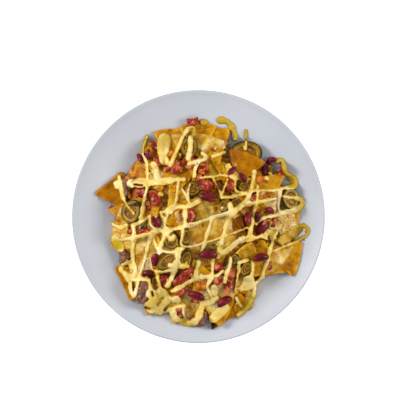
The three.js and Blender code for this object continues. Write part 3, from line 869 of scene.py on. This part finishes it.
# --- Meat -------------------------------------------------------------------------------
# Slow-cooked meat pulled into short shreds, with its fibres side by side, and dropped between
# the chips.

# Waves of noise in a shred, given as the tomato's are.
MEAT_WAVES = [(4, 1.8), (1.6, 0.9)]


def pull_shred(piece):
    round_off(piece, 3)
    roughen(piece, *MEAT_WAVES)


def meat_material():
    material, tree = new_material("pulled_meat", Roughness=0.48, Coat_Weight=0.15)
    grain = {"Vector": object_place(tree), "Rotation": (0, 0, 0.2), "Scale": (1, 0.25, 1)}
    fibres = clouds(tree, 420, 4, place=add_node(tree, "Mapping", grain).outputs[0])
    body = colour_ramp(
        tree, fibres, (0.3, srgb(84, 42, 24)), (0.5, srgb(120, 72, 44)), (0.7, srgb(160, 112, 74))
    )
    return dress(material, body, fibres, 0.7, 1.2)


meat_names = cad_names("meat_")
meat = shape_nodes("pulled_meat", meat_names, pull_shred)
meat.data.materials.append(meat_material())
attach(meat, "root")
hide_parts(*meat_names)

# --- Jalapeno slices --------------------------------------------------------------------
# Pickled jalapenos sliced across: a dark green skin round olive flesh, and a sunken middle
# of pale ribs with flat cream seeds.

SLICE_RADIUS = 10
SLICE_THICKNESS = 4
SLICE_SIDES = 32
# Share of the radius that the sunken middle takes, and the height of its ribs.
SLICE_HOLLOW = 0.55
SLICE_RIB = 0.8
# Seeds: chamber, turn in it in degrees, distance from the middle, tilt in radians.
SLICE_SEEDS = [(0, 0, 3.6, 0.3), (0, 30, 4.4, -0.4), (1, -12, 3.2, 0.5), (1, 22, 4.2, 0.2), (2, 6, 3.9, -0.3)]
SEED_SIZE = (1.35, 1.05, 0.5)
SEED_HEIGHT = 1.1
# Shares of a node's width and thickness that its slice takes.
SLICE_WIDTH_FIT = 0.985
SLICE_THICKNESS_FIT = 0.96
# The turn from each slice to the next, in radians.
SLICE_SPIN = 1.9


def slice_half():
    """The upper half of a slice of the standard radius, as rings from its rim to its middle."""
    half = SLICE_THICKNESS / 2
    rings = [(10, 0), (10, half * 0.45), (9.75, half * 0.85), (9.2, half), (8, half * 1.02)]
    rings += [(6.6, half), (6.0, half * 0.85), (5.6, half * 0.5), (5, half * 0.38), (2.5, half * 0.4)]
    piece = start_piece(
        "slice", bpy.ops.mesh.primitive_circle_add, vertices=SLICE_SIDES, radius=SLICE_RADIUS * MM
    )
    turn_rings(rings)
    bpy.ops.object.mode_set(mode="OBJECT")
    apply_modifiers(
        piece,
        ("MIRROR", {"use_axis": (False, False, True), "merge_threshold": 0.00001}),
        subdivided(1),
    )
    ring = piece.data.attributes.new("ring", "FLOAT", "POINT")
    for vertex in piece.data.vertices:
        share = math.hypot(vertex.co.x, vertex.co.y) / (SLICE_RADIUS * MM)
        ring.data[vertex.index].value = share
        if share < SLICE_HOLLOW:
            angle = math.atan2(vertex.co.y, vertex.co.x)
            rib = max(0.0, math.cos(3 * angle)) ** 3 * math.sin(math.pi * share / SLICE_HOLLOW) ** 0.5
            vertex.co.z += math.copysign(SLICE_RIB * MM * rib, vertex.co.z)
    return piece


def seed_at(angle, reach, tilt):
    piece = start_piece("seed", bpy.ops.mesh.primitive_uv_sphere_add, segments=10, ring_count=6, radius=1)
    bpy.ops.transform.resize(value=[size * MM for size in SEED_SIZE])
    bpy.ops.transform.rotate(value=tilt, orient_axis="Y", center_override=(0, 0, 0))
    bpy.ops.transform.rotate(value=angle, orient_axis="Z", center_override=(0, 0, 0))
    place = (reach * math.cos(angle) * MM, reach * math.sin(angle) * MM, SEED_HEIGHT * MM)
    bpy.ops.transform.translate(value=place)
    bpy.ops.object.mode_set(mode="OBJECT")
    bpy.ops.object.shade_smooth()
    ring = piece.data.attributes.new("ring", "FLOAT", "POINT")
    for value in ring.data:
        value.value = 2.0
    return piece


def slice_frame(node):
    """A slice node's middle, its axes as rows (long, short, up) and its size along each."""
    places = vertex_places(node)
    long_axis, _, up = np.linalg.svd(places - places.mean(axis=0), full_matrices=False)[2]
    if up[2] < 0:
        up = -up
    axes = np.array((long_axis, np.cross(up, long_axis), up))
    along = places @ axes.T
    low, high = along.min(axis=0), along.max(axis=0)
    return (low + high) / 2 @ axes, axes, high - low


def jalapeno_material():
    material, tree = new_material(
        "jalapeno", Roughness=0.38, Specular_IOR_Level=0.14, Subsurface_Weight=0.08,
        Subsurface_Scale=0.003, Coat_Weight=0.06, Coat_Roughness=0.15,
    )
    blurred = times_plus(tree, clouds(tree, 150, 2), 0.24, painted(tree, "ring"))
    zones = colour_ramp(
        tree, times_plus(tree, blurred, 0.5, -0.06),
        (0.0, srgb(152, 106, 20)), (0.2, srgb(134, 92, 12)), (0.275, srgb(100, 66, 0)),
        (0.33, srgb(160, 124, 30)), (0.42, srgb(132, 102, 16)), (0.455, srgb(80, 66, 0)),
        (0.48, srgb(50, 42, 0)), (0.55, srgb(46, 40, 0)), (0.8, srgb(178, 134, 46)),
    )
    cloud = clouds(tree, 120, 4, 0.65)
    shade = colour_ramp(tree, cloud, (0.34, (0.5, 0.46, 0.4, 1)), (0.66, (1.45, 1.4, 1.35, 1)))
    body = blend_colours(tree, 1.0, zones, shade, "MULTIPLY")
    return dress(material, body, clouds(tree, 600, 2), 0.25, 0.6)


seeds = [
    seed_at(math.radians(60 + 120 * chamber + turn), reach, tilt)
    for chamber, turn, reach, tilt in SLICE_SEEDS
]
pattern = join_pieces("slice_pattern", [slice_half(), *seeds])
slice_names = cad_names("jalapeno_")
slice_parts = []
for number, name in enumerate(slice_names):
    middle, axes, spans = slice_frame(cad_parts[name])
    part = copy_of(pattern)
    spin = Matrix.Rotation(SLICE_SPIN * number, 3, "Z")
    for vertex in part.data.vertices:
        local = spin @ vertex.co
        angle = math.atan2(local.y, local.x)
        lobes = 1 + 0.03 * math.sin(3 * angle + number) + 0.02 * math.sin(2 * angle + 2 * number)
        fit_x, fit_y = spans[:2] / (2 * SLICE_RADIUS * MM) * lobes * SLICE_WIDTH_FIT
        fitted = np.array((local.x * fit_x, local.y * fit_y, local.z * SLICE_THICKNESS_FIT))
        vertex.co = Vector(middle + fitted @ axes)
    slice_parts.append(part)
bpy.data.objects.remove(pattern)
jalapenos = join_pieces("jalapeno_slices", slice_parts)
jalapenos.data.materials.append(jalapeno_material())
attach(jalapenos, "root")
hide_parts(*slice_names)

# --- Chopped pepper and crumbs ----------------------------------------------------------
# Small cubes of red, orange and green pepper from the knife board, and crumbs of hard white
# cheese that stayed whole in the oven.

# Bits: x, y, length, width, turn.
RED_BITS = [
    (-31, 47, 7, 6, 10), (1, 37, 10, 5, 90), (-50, 12, 13, 5, 100), (-69, -14, 7, 5, 80),
    (-47, -11, 8, 4, 95), (-17, 4, 6, 4, 90), (-3, -84, 9, 5, 0), (34, -47, 8, 4, 90), (71, -49, 10, 5, 100),
    (-18, -96, 8, 6, 30), (76, -6, 11, 4, 70), (6, 51, 7, 5, 0), (-26, 54, 6, 5, 30), (-18, 47, 6, 5, 60),
    (-4, 59, 7, 5, 100), (-9, 50, 7, 4, 20), (0, 40, 6, 5, 0), (29, -74, 8, 5, 70), (-20, -93, 9, 3, 25),
    (24, -56, 6, 5, 20), (-36, -62, 6, 4, 60), (-71, 38, 5, 4, 0), (-62, 21, 6, 4, 20), (50, 20, 6, 4, 0),
    (66, -6, 8, 4, 60), (-88, 8, 6, 5, 60), (36, 40, 5, 4, 50),
]
ORANGE_BITS = [
    (62, 37, 8, 6, 0), (69, 20, 10, 6, 10), (-28, 62, 7, 6, 80), (3, -68, 13, 8, 10), (-64, 43, 8, 5, 30),
    (3, 44, 6, 5, 0), (34, -16, 6, 4, 0), (-70, 22, 9, 4, -60),
]
GREEN_BITS = [
    (25, -46, 9, 5, 90), (-19, -57, 12, 3, 40), (-54, -9, 9, 6, 60), (11, -30, 11, 7, 0), (70, -23, 5, 4, 0),
    (39, -43, 7, 5, 60), (0, 30, 6, 4, 60), (-62, 12, 5, 3, 0), (80, -18, 5, 3, 90), (-46, -60, 6, 3, 70),
]
# Where crumbs fell: x, y, half width, half depth, how many.
CRUMB_SPREADS = [
    (86, -9, 11, 16, 30), (12, -10, 34, 22, 8), (-42, -30, 26, 30, 8), (10, 60, 34, 20, 8),
    (0, -80, 30, 20, 8),
]
# Bits of each colour: their places, their height, and the colours from darkest to palest.
PEPPERS = {
    "red_pepper": (RED_BITS, 3.2, (98, 6, 2), (154, 42, 20), (210, 122, 70)),
    "orange_pepper": (ORANGE_BITS, 2.8, (150, 70, 0), (200, 106, 0), (222, 140, 30)),
    "green_pepper": (GREEN_BITS, 2.6, (38, 36, 0), (72, 64, 6), (120, 100, 30)),
}
# The slots of the three colours of bits and of the crumbs.
CHOPPED_SLOTS = ("tomato", "tomato", "jalapeno", "cheese")
CRUMB_SEED = 3
# Least and greatest width of a crumb, and its length and height as shares of its width.
CRUMB_WIDTHS = (1.2, 2.8)
CRUMB_LENGTHS = (1.0, 2.4)
CRUMB_HEIGHT = 0.6
# Share of its height by which a bit stands above the place it is set into.
BIT_RISE = 0.25
# How uneven a bit and a crumb are, as a share of their width.
BIT_UNEVEN = 0.35
CRUMB_UNEVEN = 0.3


def small_block():
    """A cube of a knife cut, a millimetre each way, with its corners worn round."""
    block = start_piece("small_block", bpy.ops.mesh.primitive_cube_add, size=MM)
    bpy.ops.mesh.subdivide(number_cuts=2)
    bpy.ops.mesh.vertices_smooth(factor=0.5, repeat=2)
    bpy.ops.object.mode_set(mode="OBJECT")
    round_off(block, 1)
    return block


def set_down(pattern, tree, x, y, sizes, turn, unevenness):
    """A copy of a pattern at its own size, turned and set into what lies under it."""
    bit = copy_of(pattern)
    height = height_over(tree, x, y) + BIT_RISE * sizes[2]
    lie = Matrix.Translation(Vector((x, y, height)) * MM) @ Matrix.Rotation(math.radians(turn), 4, "Z")
    bit.data.transform(lie @ Matrix.Diagonal((*sizes, 1)))
    roughen(bit, (0.6 * sizes[1], unevenness * sizes[1]))
    return bit


def pepper_material(name, *colours):
    """Wet pepper from its darkest to its palest colour."""
    material, tree = new_material(
        name, Roughness=0.32, Specular_IOR_Level=0.2, Coat_Weight=0.12, Coat_Roughness=0.12
    )
    cloud = clouds(tree, 190, 3)
    stops = [(0.34 + 0.12 * number, srgb(*colour)) for number, colour in enumerate(colours)]
    return dress(material, colour_ramp(tree, cloud, *stops), cloud, 0.4, 0.8)


layer_tree = tree_of(chips, core, cheese, beans, tomato, meat, jalapenos)
block = small_block()
pepper_bits = []
for name, (bits, height, *colours) in PEPPERS.items():
    chopped = [
        set_down(block, layer_tree, x, y, (length, width, height), turn, BIT_UNEVEN)
        for x, y, length, width, turn in bits
    ]
    pepper_bits.append(join_pieces(name + "_bits", chopped))
    pepper_bits[-1].data.materials.append(pepper_material(name, *colours))
crumb_draws = random.Random(CRUMB_SEED)
crumbs = []
for spread_x, spread_y, half_width, half_depth, count in CRUMB_SPREADS:
    for _ in range(count):
        x = crumb_draws.gauss(spread_x, half_width / 2)
        y = crumb_draws.gauss(spread_y, half_depth / 2)
        width = crumb_draws.uniform(*CRUMB_WIDTHS)
        sizes = (width * crumb_draws.uniform(*CRUMB_LENGTHS), width, CRUMB_HEIGHT * width)
        turn = crumb_draws.uniform(0, 180)
        crumbs.append(set_down(block, layer_tree, x, y, sizes, turn, CRUMB_UNEVEN))
crumbs = join_pieces("cheese_crumbs", crumbs)
crumbs.data.materials.append(pepper_material("white_cheese", (186, 134, 60), (210, 166, 92), (232, 200, 136)))
bpy.data.objects.remove(block)
for piece, slot in zip((*pepper_bits, crumbs), CHOPPED_SLOTS):
    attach(piece, "root")
    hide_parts("chip_heap")

# --- Cheese sauce -----------------------------------------------------------------------
# Warm yellow sauce drizzled back and forth from a spoon: rounded strands that sag over what
# they cross, run together where they meet and end in drops, some of them on the plate.

# Strokes: width, then the points that the stroke runs through, in mm.
SAUCE_STROKES = [
    (4, (-52, 81), (-54, 74), (-56, 62), (-52, 54), (-51, 39)),
    (11.5, (-34, 78), (-34.5, 73), (-35.5, 67)),
    (8, (-36, 64), (-35.5, 60), (-34, 56)),
    (4.5, (-28, 51), (-22, 65), (-16, 79), (-10, 88), (-5, 89), (-4, 83)),
    (5.5, (-8, 79), (-8, 69), (-10, 58)),
    (9, (-67, 33), (-56, 34)),
    (7, (-58, 34), (-43, 34), (-28, 36)),
    (5, (-30, 36), (-22, 37), (-14, 37)),
    (7, (-41, 39), (-42, 46), (-45, 52)),
    (4, (-51, 29), (-54, 15), (-57, -1)),
    (5, (-80, 40), (-77, 26), (-75, 18)),
    (2.5, (-75, 18), (-71, 11), (-64, 3)),
    (6, (-83, 33), (-82, 30)),
    (5, (4, 63), (8, 60), (5, 57), (-1, 55), (-9, 52)),
    (4, (0, 54), (-3, 48), (-4, 40)),
    (3.5, (3, 38.5), (12, 40), (20, 41), (28, 41)),
    (4.5, (15, 60.5), (21, 62.5), (26, 64)),
    (6, (22, 97), (28, 96), (33, 91.5), (36, 85), (37, 79)),
    (4, (48, 86), (48, 79)),
    (3.5, (48, 75), (47, 68)),
    (5.5, (4.5, 95), (7, 95)),
    (7, (30, 50), (35, 41), (42, 39)),
    (3, (37, 37), (36, 30), (38, 25), (47, 23)),
    (2.5, (29, 37), (26, 29), (23, 22)),
    (2, (14, 39), (17, 33), (20, 27), (23, 21)),
    (3.5, (23, 19), (30, 19.5), (38, 20.5), (46, 23)),
    (4, (56, 45), (54, 34), (51, 23), (46, 14), (39, 7), (33, 1)),
    (3.5, (52, 25), (60, 26), (76, 26), (84, 28), (92, 30), (97, 32)),
    (4, (82, 27), (81, 19), (80, 11), (81, 4)),
    (4, (49, 12), (58, 14), (67, 16), (77, 18)),
    (4, (59, 30), (58, 16), (56, 7), (55, -1), (53, -9), (51, -17), (49, -24)),
    (4, (58, -7), (63, -2), (69, 0), (76, 1), (83, 3)),
    (5, (79, 56), (84, 57), (86, 52), (87, 45), (92, 41), (97, 38), (98, 33), (95, 29.5), (90, 29)),
    (3.5, (86, 20), (93, 19), (100, 18.5)),
    (6, (99, 18), (103.5, 16.5), (105, 12.5), (101, 8.5), (95, 6), (89, 4.5), (82, 3)),
    (3.5, (94, -12), (101, -9.5), (107, -9.5), (110.5, -13), (109.5, -18), (104, -22), (96, -26), (86, -30),
     (76, -34)),
    (4.5, (-79, -24), (-68, -22), (-56, -19), (-46, -16), (-36, -14), (-26, -13), (-16, -10), (-6, -8)),
    (4.5, (-6, -8), (4, -4), (14, -1), (24, 2), (34, 6), (42, 11), (50, 14)),
    (2.5, (-14, -30), (-4, -29), (6, -26), (16, -23), (26, -19), (38, -15), (48, -11)),
    (4, (14, 0), (11, -9), (8, -19), (5, -29), (3, -34)),
    (5, (31, 12), (32, 5), (29, -5), (26, -15), (23, -26), (20, -37)),
    (3.5, (-15, -11), (-16, -19), (-17, -26), (-15, -31), (-20, -33), (-27, -35), (-35, -34)),
    (5, (-31, -13), (-30, -19), (-27, -22), (-24, -20)),
    (6, (19, -39), (26, -35), (33, -30), (39, -25), (46, -22), (52, -21)),
    (4, (52, -22), (60, -20), (68, -17), (76, -15)),
    (9, (68, -18), (70, -18)),
    (4.5, (78, -15), (74, -23), (72, -31), (70, -39), (68, -47), (65, -55), (64, -61)),
    (5, (-65, -9), (-64, -17), (-65, -26), (-66, -35), (-66, -45), (-67, -51)),
    (4.5, (-47, -19), (-50, -28), (-52, -37), (-55, -47), (-57, -54)),
    (5, (-35, -5), (-33, -16), (-37, -28), (-39, -36)),
    (5, (-26, 10), (-31, 3), (-34, -7)),
    (4, (-45, -19), (-42, -29), (-38, -35)),
    (5, (-67, -46), (-74, -48), (-78, -53), (-73, -58), (-67, -60), (-63, -55), (-65, -48)),
    (4.5, (-58, -57), (-60, -65), (-62, -73), (-65, -80), (-68, -73), (-69, -66), (-73, -59)),
    (4, (-73, -59), (-67, -63), (-58, -62), (-50, -63)),
    (3.6, (-42, -54), (-40, -62), (-38.5, -69), (-38, -75)),
    (5, (-26, -59), (-28, -64), (-31, -69)),
    (3.5, (-41, -55), (-32, -54), (-23, -52)),
    (6, (-20, -33), (-20, -41), (-22, -49), (-24, -55)),
    (5, (-28, -48), (-20, -49), (-11, -49)),
    (3, (-48, -41), (-47, -48), (-46, -54)),
    (4, (-49, -63), (-48, -69), (-47, -76)),
    (9, (-47, -77), (-45, -83), (-49, -90)),
    (9, (-50, -91), (-43, -94), (-36, -91), (-37, -81)),
    (8, (-38, -75), (-32, -79), (-32, -88), (-39, -96)),
    (5, (-26, -74), (-16, -69), (-6, -63), (4, -60), (12, -60)),
    (5, (0, -45), (-2, -54), (-3, -62)),
    (4, (14, -43), (14, -52), (13, -61), (9, -69), (12, -79)),
    (4, (-38, -96), (-30, -94), (-23, -91), (-14, -89)),
    (7, (-26, -95), (-23, -102), (-15, -107), (-7, -107), (-1, -102), (2, -94), (5, -87)),
    (6, (5, -87), (12, -85), (19, -82)),
    (9.5, (26.5, -91.5), (20, -97), (15, -102)),
    (8, (-23, -83), (-22, -83)),
    (3.2, (-15, -91), (-14.5, -98), (-12, -104)),
    (7, (15.5, -70), (16.5, -76)),
    (4.5, (32, -41), (31, -49), (28, -56), (26, -65)),
    (3, (18, -59), (24, -54)),
    (4, (40, -46), (40, -55)),
    (2.6, (39, -58), (38, -66), (36.5, -75)),
    (4, (42, -45), (49, -43)),
    (5, (54, -45), (54, -53), (52, -60), (46, -67), (42, -72)),
    (12, (50, -65), (51, -67)),
    (4, (64, -61), (58, -67), (51, -72), (42, -74)),
    (5, (56.5, -72), (55, -80), (51, -88), (45.5, -95), (40, -98.5)),
    (4, (38, -82), (42, -90)),
    (5, (-86, -8), (-79, -11), (-72, -9)),
    (9, (-84, -23), (-82, -28), (-79, -31)),
    (3.5, (-20, 33), (-21, 23), (-23, 13), (-26, 9)),
    (3, (-16, 27), (-12, 20), (-8, 13)),
    (5, (-34, 4), (-26, 8), (-17, 10), (-8, 11), (1, 16)),
    (8, (-29, 6), (-28, 6)),
    (2.5, (-8, 32), (-10, 25), (-10, 19)),
    (5, (-13, 5), (-13, -8)),
    (1.5, (2, 16), (9, 13), (16, 13)),
    (4, (-65, -9), (-60, -7), (-54, -3), (-48, 1)),
    (3.5, (-48, 0), (-47, -8), (-42, -12), (-37, -11), (-35, -4), (-37, 4)),
    (4.5, (-38, 22.5), (-37, 22)),
    (5, (68, 38.5), (69, 38)),
    (5, (73, 50), (72.5, 44)),
]
# Thin golden puddles: width, then the points.
SAUCE_FILMS = [
    (9, (101, -13), (94, -18), (84, -24)),
    (7, (96, 36), (93, 38)),
    (6, (104, 14), (102, 9)),
    (9, (52, -80), (50, -90)),
    (8, (-83, -20), (-84, -27)),
]
# Slits where two folds of sauce do not quite meet: width, then the points.
SAUCE_SLITS = [
    (1.2, (-46.5, -75), (-45.5, -79)),
    (1.3, (-39, -86), (-38, -83), (-35.5, -81.5)),
    (1.2, (-53, -91), (-49, -92.5)),
    (1.3, (-34, -94), (-30, -89)),
    (1.3, (-28, -88.5), (-23, -87.5)),
    (1.4, (70, -20), (71, -27)),
    (1.4, (-34, 2), (-33, 1)),
    (1.2, (-64, 32), (-56, 31)),
]
# Where the sauce is golden rather than pale: x, y, radius, share.
SAUCE_GOLDEN = [
    (-31, 81, 9, 0.8), (-38, 74, 9, 0.45), (50, -90, 15, 1), (-83, -28, 10, 1), (32, 88, 18, 1),
    (104, -14, 16, 1), (92, 46, 16, 1), (104, 12, 12, 1), (-12, -106, 10, 0.5), (-66, -84, 8, 0.8),
    (-56, 74, 10, 0.8), (-4, 84, 8, 0.9), (-62, -100, 10, 0.8), (24, -30, 5, 0.6), (7, 95, 6, 0.9),
    (-70, -48, 9, 0.2), (-30, 22, 16, 0.35), (-6, -52, 12, 0.35), (-40, -88, 16, 0.3),
]
# How sharply a golden place ends, and how golden the sauce is on the plate.
GOLDEN_FADE = 1.6
SAUCE_ON_PLATE = 0.9
SAUCE_STEP = 1.2
SAUCE_SPREAD = 1.07
# Waves of noise in its outline, given as the core's are, and in a stroke's width: amount, fineness.
SAUCE_WAVES = [(0.5, 0.3, 3), (0.3, 0.8, 6)]
STROKE_WAVES = [(0.3, 0.16), (0.2, 0.45)]
# The widest stroke that still drips, and the share of its places that stay without a drip.
DRIP_WIDEST = 5.5
DRIP_NONE = 0.55
# The points from one such place to the next, a drip's turn off the stroke in radians, and its reach
# and size as shares of the stroke's half width.
DRIP_EVERY = 8
DRIP_TURN = (0.9, 1.7)
DRIP_REACH = (0.7, 1.6)
DRIP_SIZE = 0.55
SAUCE_DEPTH = 2.5
SAUCE_FILM_DEPTH = 0.9
SAUCE_SHELL = 0.8
SAUCE_EDGE = 1.1
# How readily strokes that meet run together: the lower, the more. A stroke has no pull on another
# past the reach.
SAUCE_WEB = 1.4
SAUCE_REACH = 6
SAUCE_FAR = 12
# How much the sauce sags from each height below it to the mean of those round it, how far it may
# sink into them before and after it settles, and how steeply it may fall, over how many cells.
SAUCE_SAG = 0.65
SAUCE_SINK = 0.5
SAUCE_SETTLED_SINK = 0.8
SAUCE_FALL = 1.7
SAUCE_FALL_CELLS = 6
# How steeply its edge turns under, and how far past its outline the skin goes on.
SAUCE_TUCK = 2.2
SAUCE_SKIRT = 1.1
SAUCE_CELL = 0.66
SAUCE_LOW = (-95, -113)
SAUCE_CELLS = 329


def spaced(points, step):
    """Points along the smooth curve through the given ones, a step apart."""
    ends = [tuple(2 * np.array(points[0]) - np.array(points[1]))]
    ends += [*points, tuple(2 * np.array(points[-1]) - np.array(points[-2]))]
    dense = []
    for before, start, end, after in zip(ends, ends[1:], ends[2:], ends[3:]):
        before, start, end, after = map(np.array, (before, start, end, after))
        count = max(2, int(np.linalg.norm(end - start) / step) + 1)
        for share in np.arange(count) / count:
            dense.append(0.5 * (
                2 * start + (end - before) * share
                + (2 * before - 5 * start + 4 * end - after) * share**2
                + (3 * start - before - 3 * end + after) * share**3
            ))
    dense.append(np.array(points[-1], dtype=float))
    return dense


def near(field, pick):
    """The lowest (np.min) or highest (np.max) of each cell and the eight round it."""
    padded = np.pad(field, 1, mode="edge")
    rows, columns = field.shape
    return pick([padded[j:j + rows, i:i + columns] for j in range(3) for i in range(3)], axis=0)


def stroke_points(width, points, number):
    """A stroke as points with their half widths, uneven as it ran off the spoon, and its short drips."""
    draws = random.Random(number)
    route = []
    for x, y in spaced(points, SAUCE_STEP):
        wobble = 1 + uneven(x, y, [(*wave, width) for wave in STROKE_WAVES])
        route.append((x, y, SAUCE_SPREAD * width / 2 * wobble))
    drips = []
    for (before_x, before_y, _), (x, y, half) in zip(route[3:-3:DRIP_EVERY], route[4:-2:DRIP_EVERY]):
        if width > DRIP_WIDEST or draws.random() < DRIP_NONE:
            continue
        course = math.atan2(y - before_y, x - before_x) + draws.choice((-1, 1)) * draws.uniform(*DRIP_TURN)
        reach = half * draws.uniform(*DRIP_REACH)
        drips.append((x + reach * math.cos(course), y + reach * math.sin(course), DRIP_SIZE * half))
    return route + drips


def sauce_outline(strokes):
    """Distance of each cell to the edge of the sauce, below zero inside it."""
    grid_x = SAUCE_LOW[0] + SAUCE_CELL * np.arange(SAUCE_CELLS + 1)
    grid_y = SAUCE_LOW[1] + SAUCE_CELL * np.arange(SAUCE_CELLS + 1)
    pull = np.zeros((SAUCE_CELLS + 1, SAUCE_CELLS + 1))
    for number, (width, *points) in enumerate(strokes):
        away = np.full_like(pull, SAUCE_FAR)
        for x, y, half in stroke_points(width, points, number):
            i, j = int((x - SAUCE_LOW[0]) / SAUCE_CELL), int((y - SAUCE_LOW[1]) / SAUCE_CELL)
            reach = int((half + SAUCE_REACH) / SAUCE_CELL)
            rows = slice(max(0, j - reach), j + reach)
            columns = slice(max(0, i - reach), i + reach)
            distance = np.hypot(grid_x[columns][None, :] - x, grid_y[rows][:, None] - y) - half
            away[rows, columns] = np.minimum(away[rows, columns], distance)
        pull += np.exp(-SAUCE_WEB * away)
    return -np.log(pull) / SAUCE_WEB


def domed(outline, full_depth):
    """Depth of the sauce that rises from its edge to its full depth."""
    return full_depth * (1 - np.exp(np.minimum(outline, 0) / SAUCE_EDGE))


def golden_share(spots):
    """How golden the sauce is over a grid, from the golden places."""
    grid_x, grid_y = np.array(spots).transpose(2, 0, 1)
    shares = [
        share * np.minimum(1, GOLDEN_FADE * (1 - np.hypot(grid_x - x, grid_y - y) / radius))
        for x, y, radius, share in SAUCE_GOLDEN
    ]
    return np.clip(np.max(shares, axis=0), 0, 1)


topping_tree = tree_of(chips, core, cheese, tomato, meat, jalapenos, *pepper_bits)
sauce_spots = grid_spots(SAUCE_LOW, SAUCE_CELL, SAUCE_CELLS)
ground = over_spots(sauce_spots, lambda x, y: height_over(topping_tree, x, y))
tremors = over_spots(sauce_spots, lambda x, y: uneven(x, y, SAUCE_WAVES))
outline = np.maximum(sauce_outline(SAUCE_STROKES) + tremors, -sauce_outline(SAUCE_SLITS))
film_outline = sauce_outline(SAUCE_FILMS) + tremors
bed = (1 - SAUCE_SAG) * ground + SAUCE_SAG * soften(ground, 14)
bed = np.maximum(bed, near(ground, np.max) - SAUCE_SINK)
for _ in range(SAUCE_FALL_CELLS):
    bed = np.maximum(bed, near(bed, np.max) - SAUCE_FALL * SAUCE_CELL)
bed = np.maximum(soften(bed, 3), near(ground, np.max) - SAUCE_SETTLED_SINK)
depth = np.maximum(domed(outline, SAUCE_DEPTH), domed(film_outline, SAUCE_FILM_DEPTH))
beyond = np.maximum(0, np.minimum(outline, film_outline))
sauce_height = np.where(beyond > 0, near(ground, np.min) - SAUCE_TUCK * beyond, bed + depth)
on_plate = over_spots(sauce_spots, lambda x, y: topmost(topping_tree, x, y) is None)
golden = np.where(on_plate, SAUCE_ON_PLATE, golden_share(sauce_spots))
sauce = lay_skin(
    "cheese_sauce", sauce_spots, sauce_height, beyond > SAUCE_SKIRT, SAUCE_SHELL,
    golden=golden.astype(np.float32), depth=(depth / SAUCE_DEPTH).astype(np.float32),
)


def sauce_material():
    material, tree = new_material(
        "cheese_sauce", Roughness=0.34, Specular_IOR_Level=0.22, Subsurface_Weight=0.12,
        Subsurface_Scale=0.002, Coat_Weight=0.08, Coat_Roughness=0.12,
    )
    # The palest colours of the crest are painted highlight.
    crest_and_highlights = colour_ramp(
        tree, clouds(tree, 45, 3),
        (0.3, srgb(238, 200, 90)), (0.52, srgb(244, 217, 134)), (0.68, srgb(249, 233, 182)),
    )
    # Darker golden towards a strand's thin edge: partly sauce thin over what lies under, partly painted shade
    # on its rounded sides.
    flank = map_range(tree, painted(tree, "depth"), 0.1, 0.82, how="SMOOTHSTEP")
    rounded = blend_colours(tree, flank, srgb(196, 148, 2), crest_and_highlights)
    syrup = blend_colours(tree, flank, srgb(148, 108, 0), srgb(192, 158, 4))
    body = blend_colours(tree, painted(tree, "golden"), rounded, syrup)
    return dress(material, body, clouds(tree, 380, 2), 0.18, 0.6)


sauce.data.materials.append(sauce_material())
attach(sauce, "root")
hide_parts("chip_heap")

# --- Floor, light and camera ------------------------------------------------------------
# A plain white studio table in an even pale room, a low softbox on each side with the stronger
# one on the left, and a camera that looks straight down.

# The camera's place and the width it takes in at the height of the rim, in mm.
LOOK_X, LOOK_Y = 1.6, 16.5
CAMERA_HEIGHT = 1500
VIEW_WIDTH = 400
SENSOR_WIDTH = 36
TABLE_SIZE = 8
LAMP_SIZE = 0.6
LAMP_COLOUR = (1.0, 0.99, 0.97)

bpy.ops.object.select_all(action="DESELECT")
bpy.ops.mesh.primitive_plane_add(size=TABLE_SIZE)
floor = bpy.context.object
floor.name = "floor"
white_table, _ = new_material(
    "white_table", Roughness=0.8, Base_Color=srgb(250, 250, 250), Emission_Color=(1, 1, 1, 1),
    Emission_Strength=0.5,
)
floor.data.materials.append(white_table)


def add_softbox(name, place, power):
    bpy.ops.object.light_add(type="AREA", location=place)
    lamp = bpy.context.object
    lamp.name = name
    lamp.data.shape = "DISK"
    lamp.data.size = LAMP_SIZE
    lamp.data.energy = power
    lamp.data.color = LAMP_COLOUR
    lamp.rotation_mode = "QUATERNION"
    lamp.rotation_quaternion = (-Vector(place)).to_track_quat("-Z", "Y")


add_softbox("left_softbox", (-1.15, 0.4, 0.74), 15)
add_softbox("right_softbox", (1.2, 0.1, 0.74), 11)
world = bpy.data.worlds.new("studio")
bpy.context.scene.world = world
world.use_nodes = True
background = world.node_tree.nodes["Background"]
background.inputs["Color"].default_value = (0.95, 0.97, 1.0, 1)
background.inputs["Strength"].default_value = 0.5
bpy.context.scene.view_settings.view_transform = "Standard"

bpy.ops.object.camera_add(location=(LOOK_X * MM, LOOK_Y * MM, CAMERA_HEIGHT * MM), rotation=(0, 0, 0))
camera = bpy.context.object
camera.data.sensor_width = SENSOR_WIDTH
camera.data.lens = SENSOR_WIDTH * (CAMERA_HEIGHT - RIM_HEIGHT) / VIEW_WIDTH
camera.data.dof.use_dof = False
bpy.context.scene.camera = camera
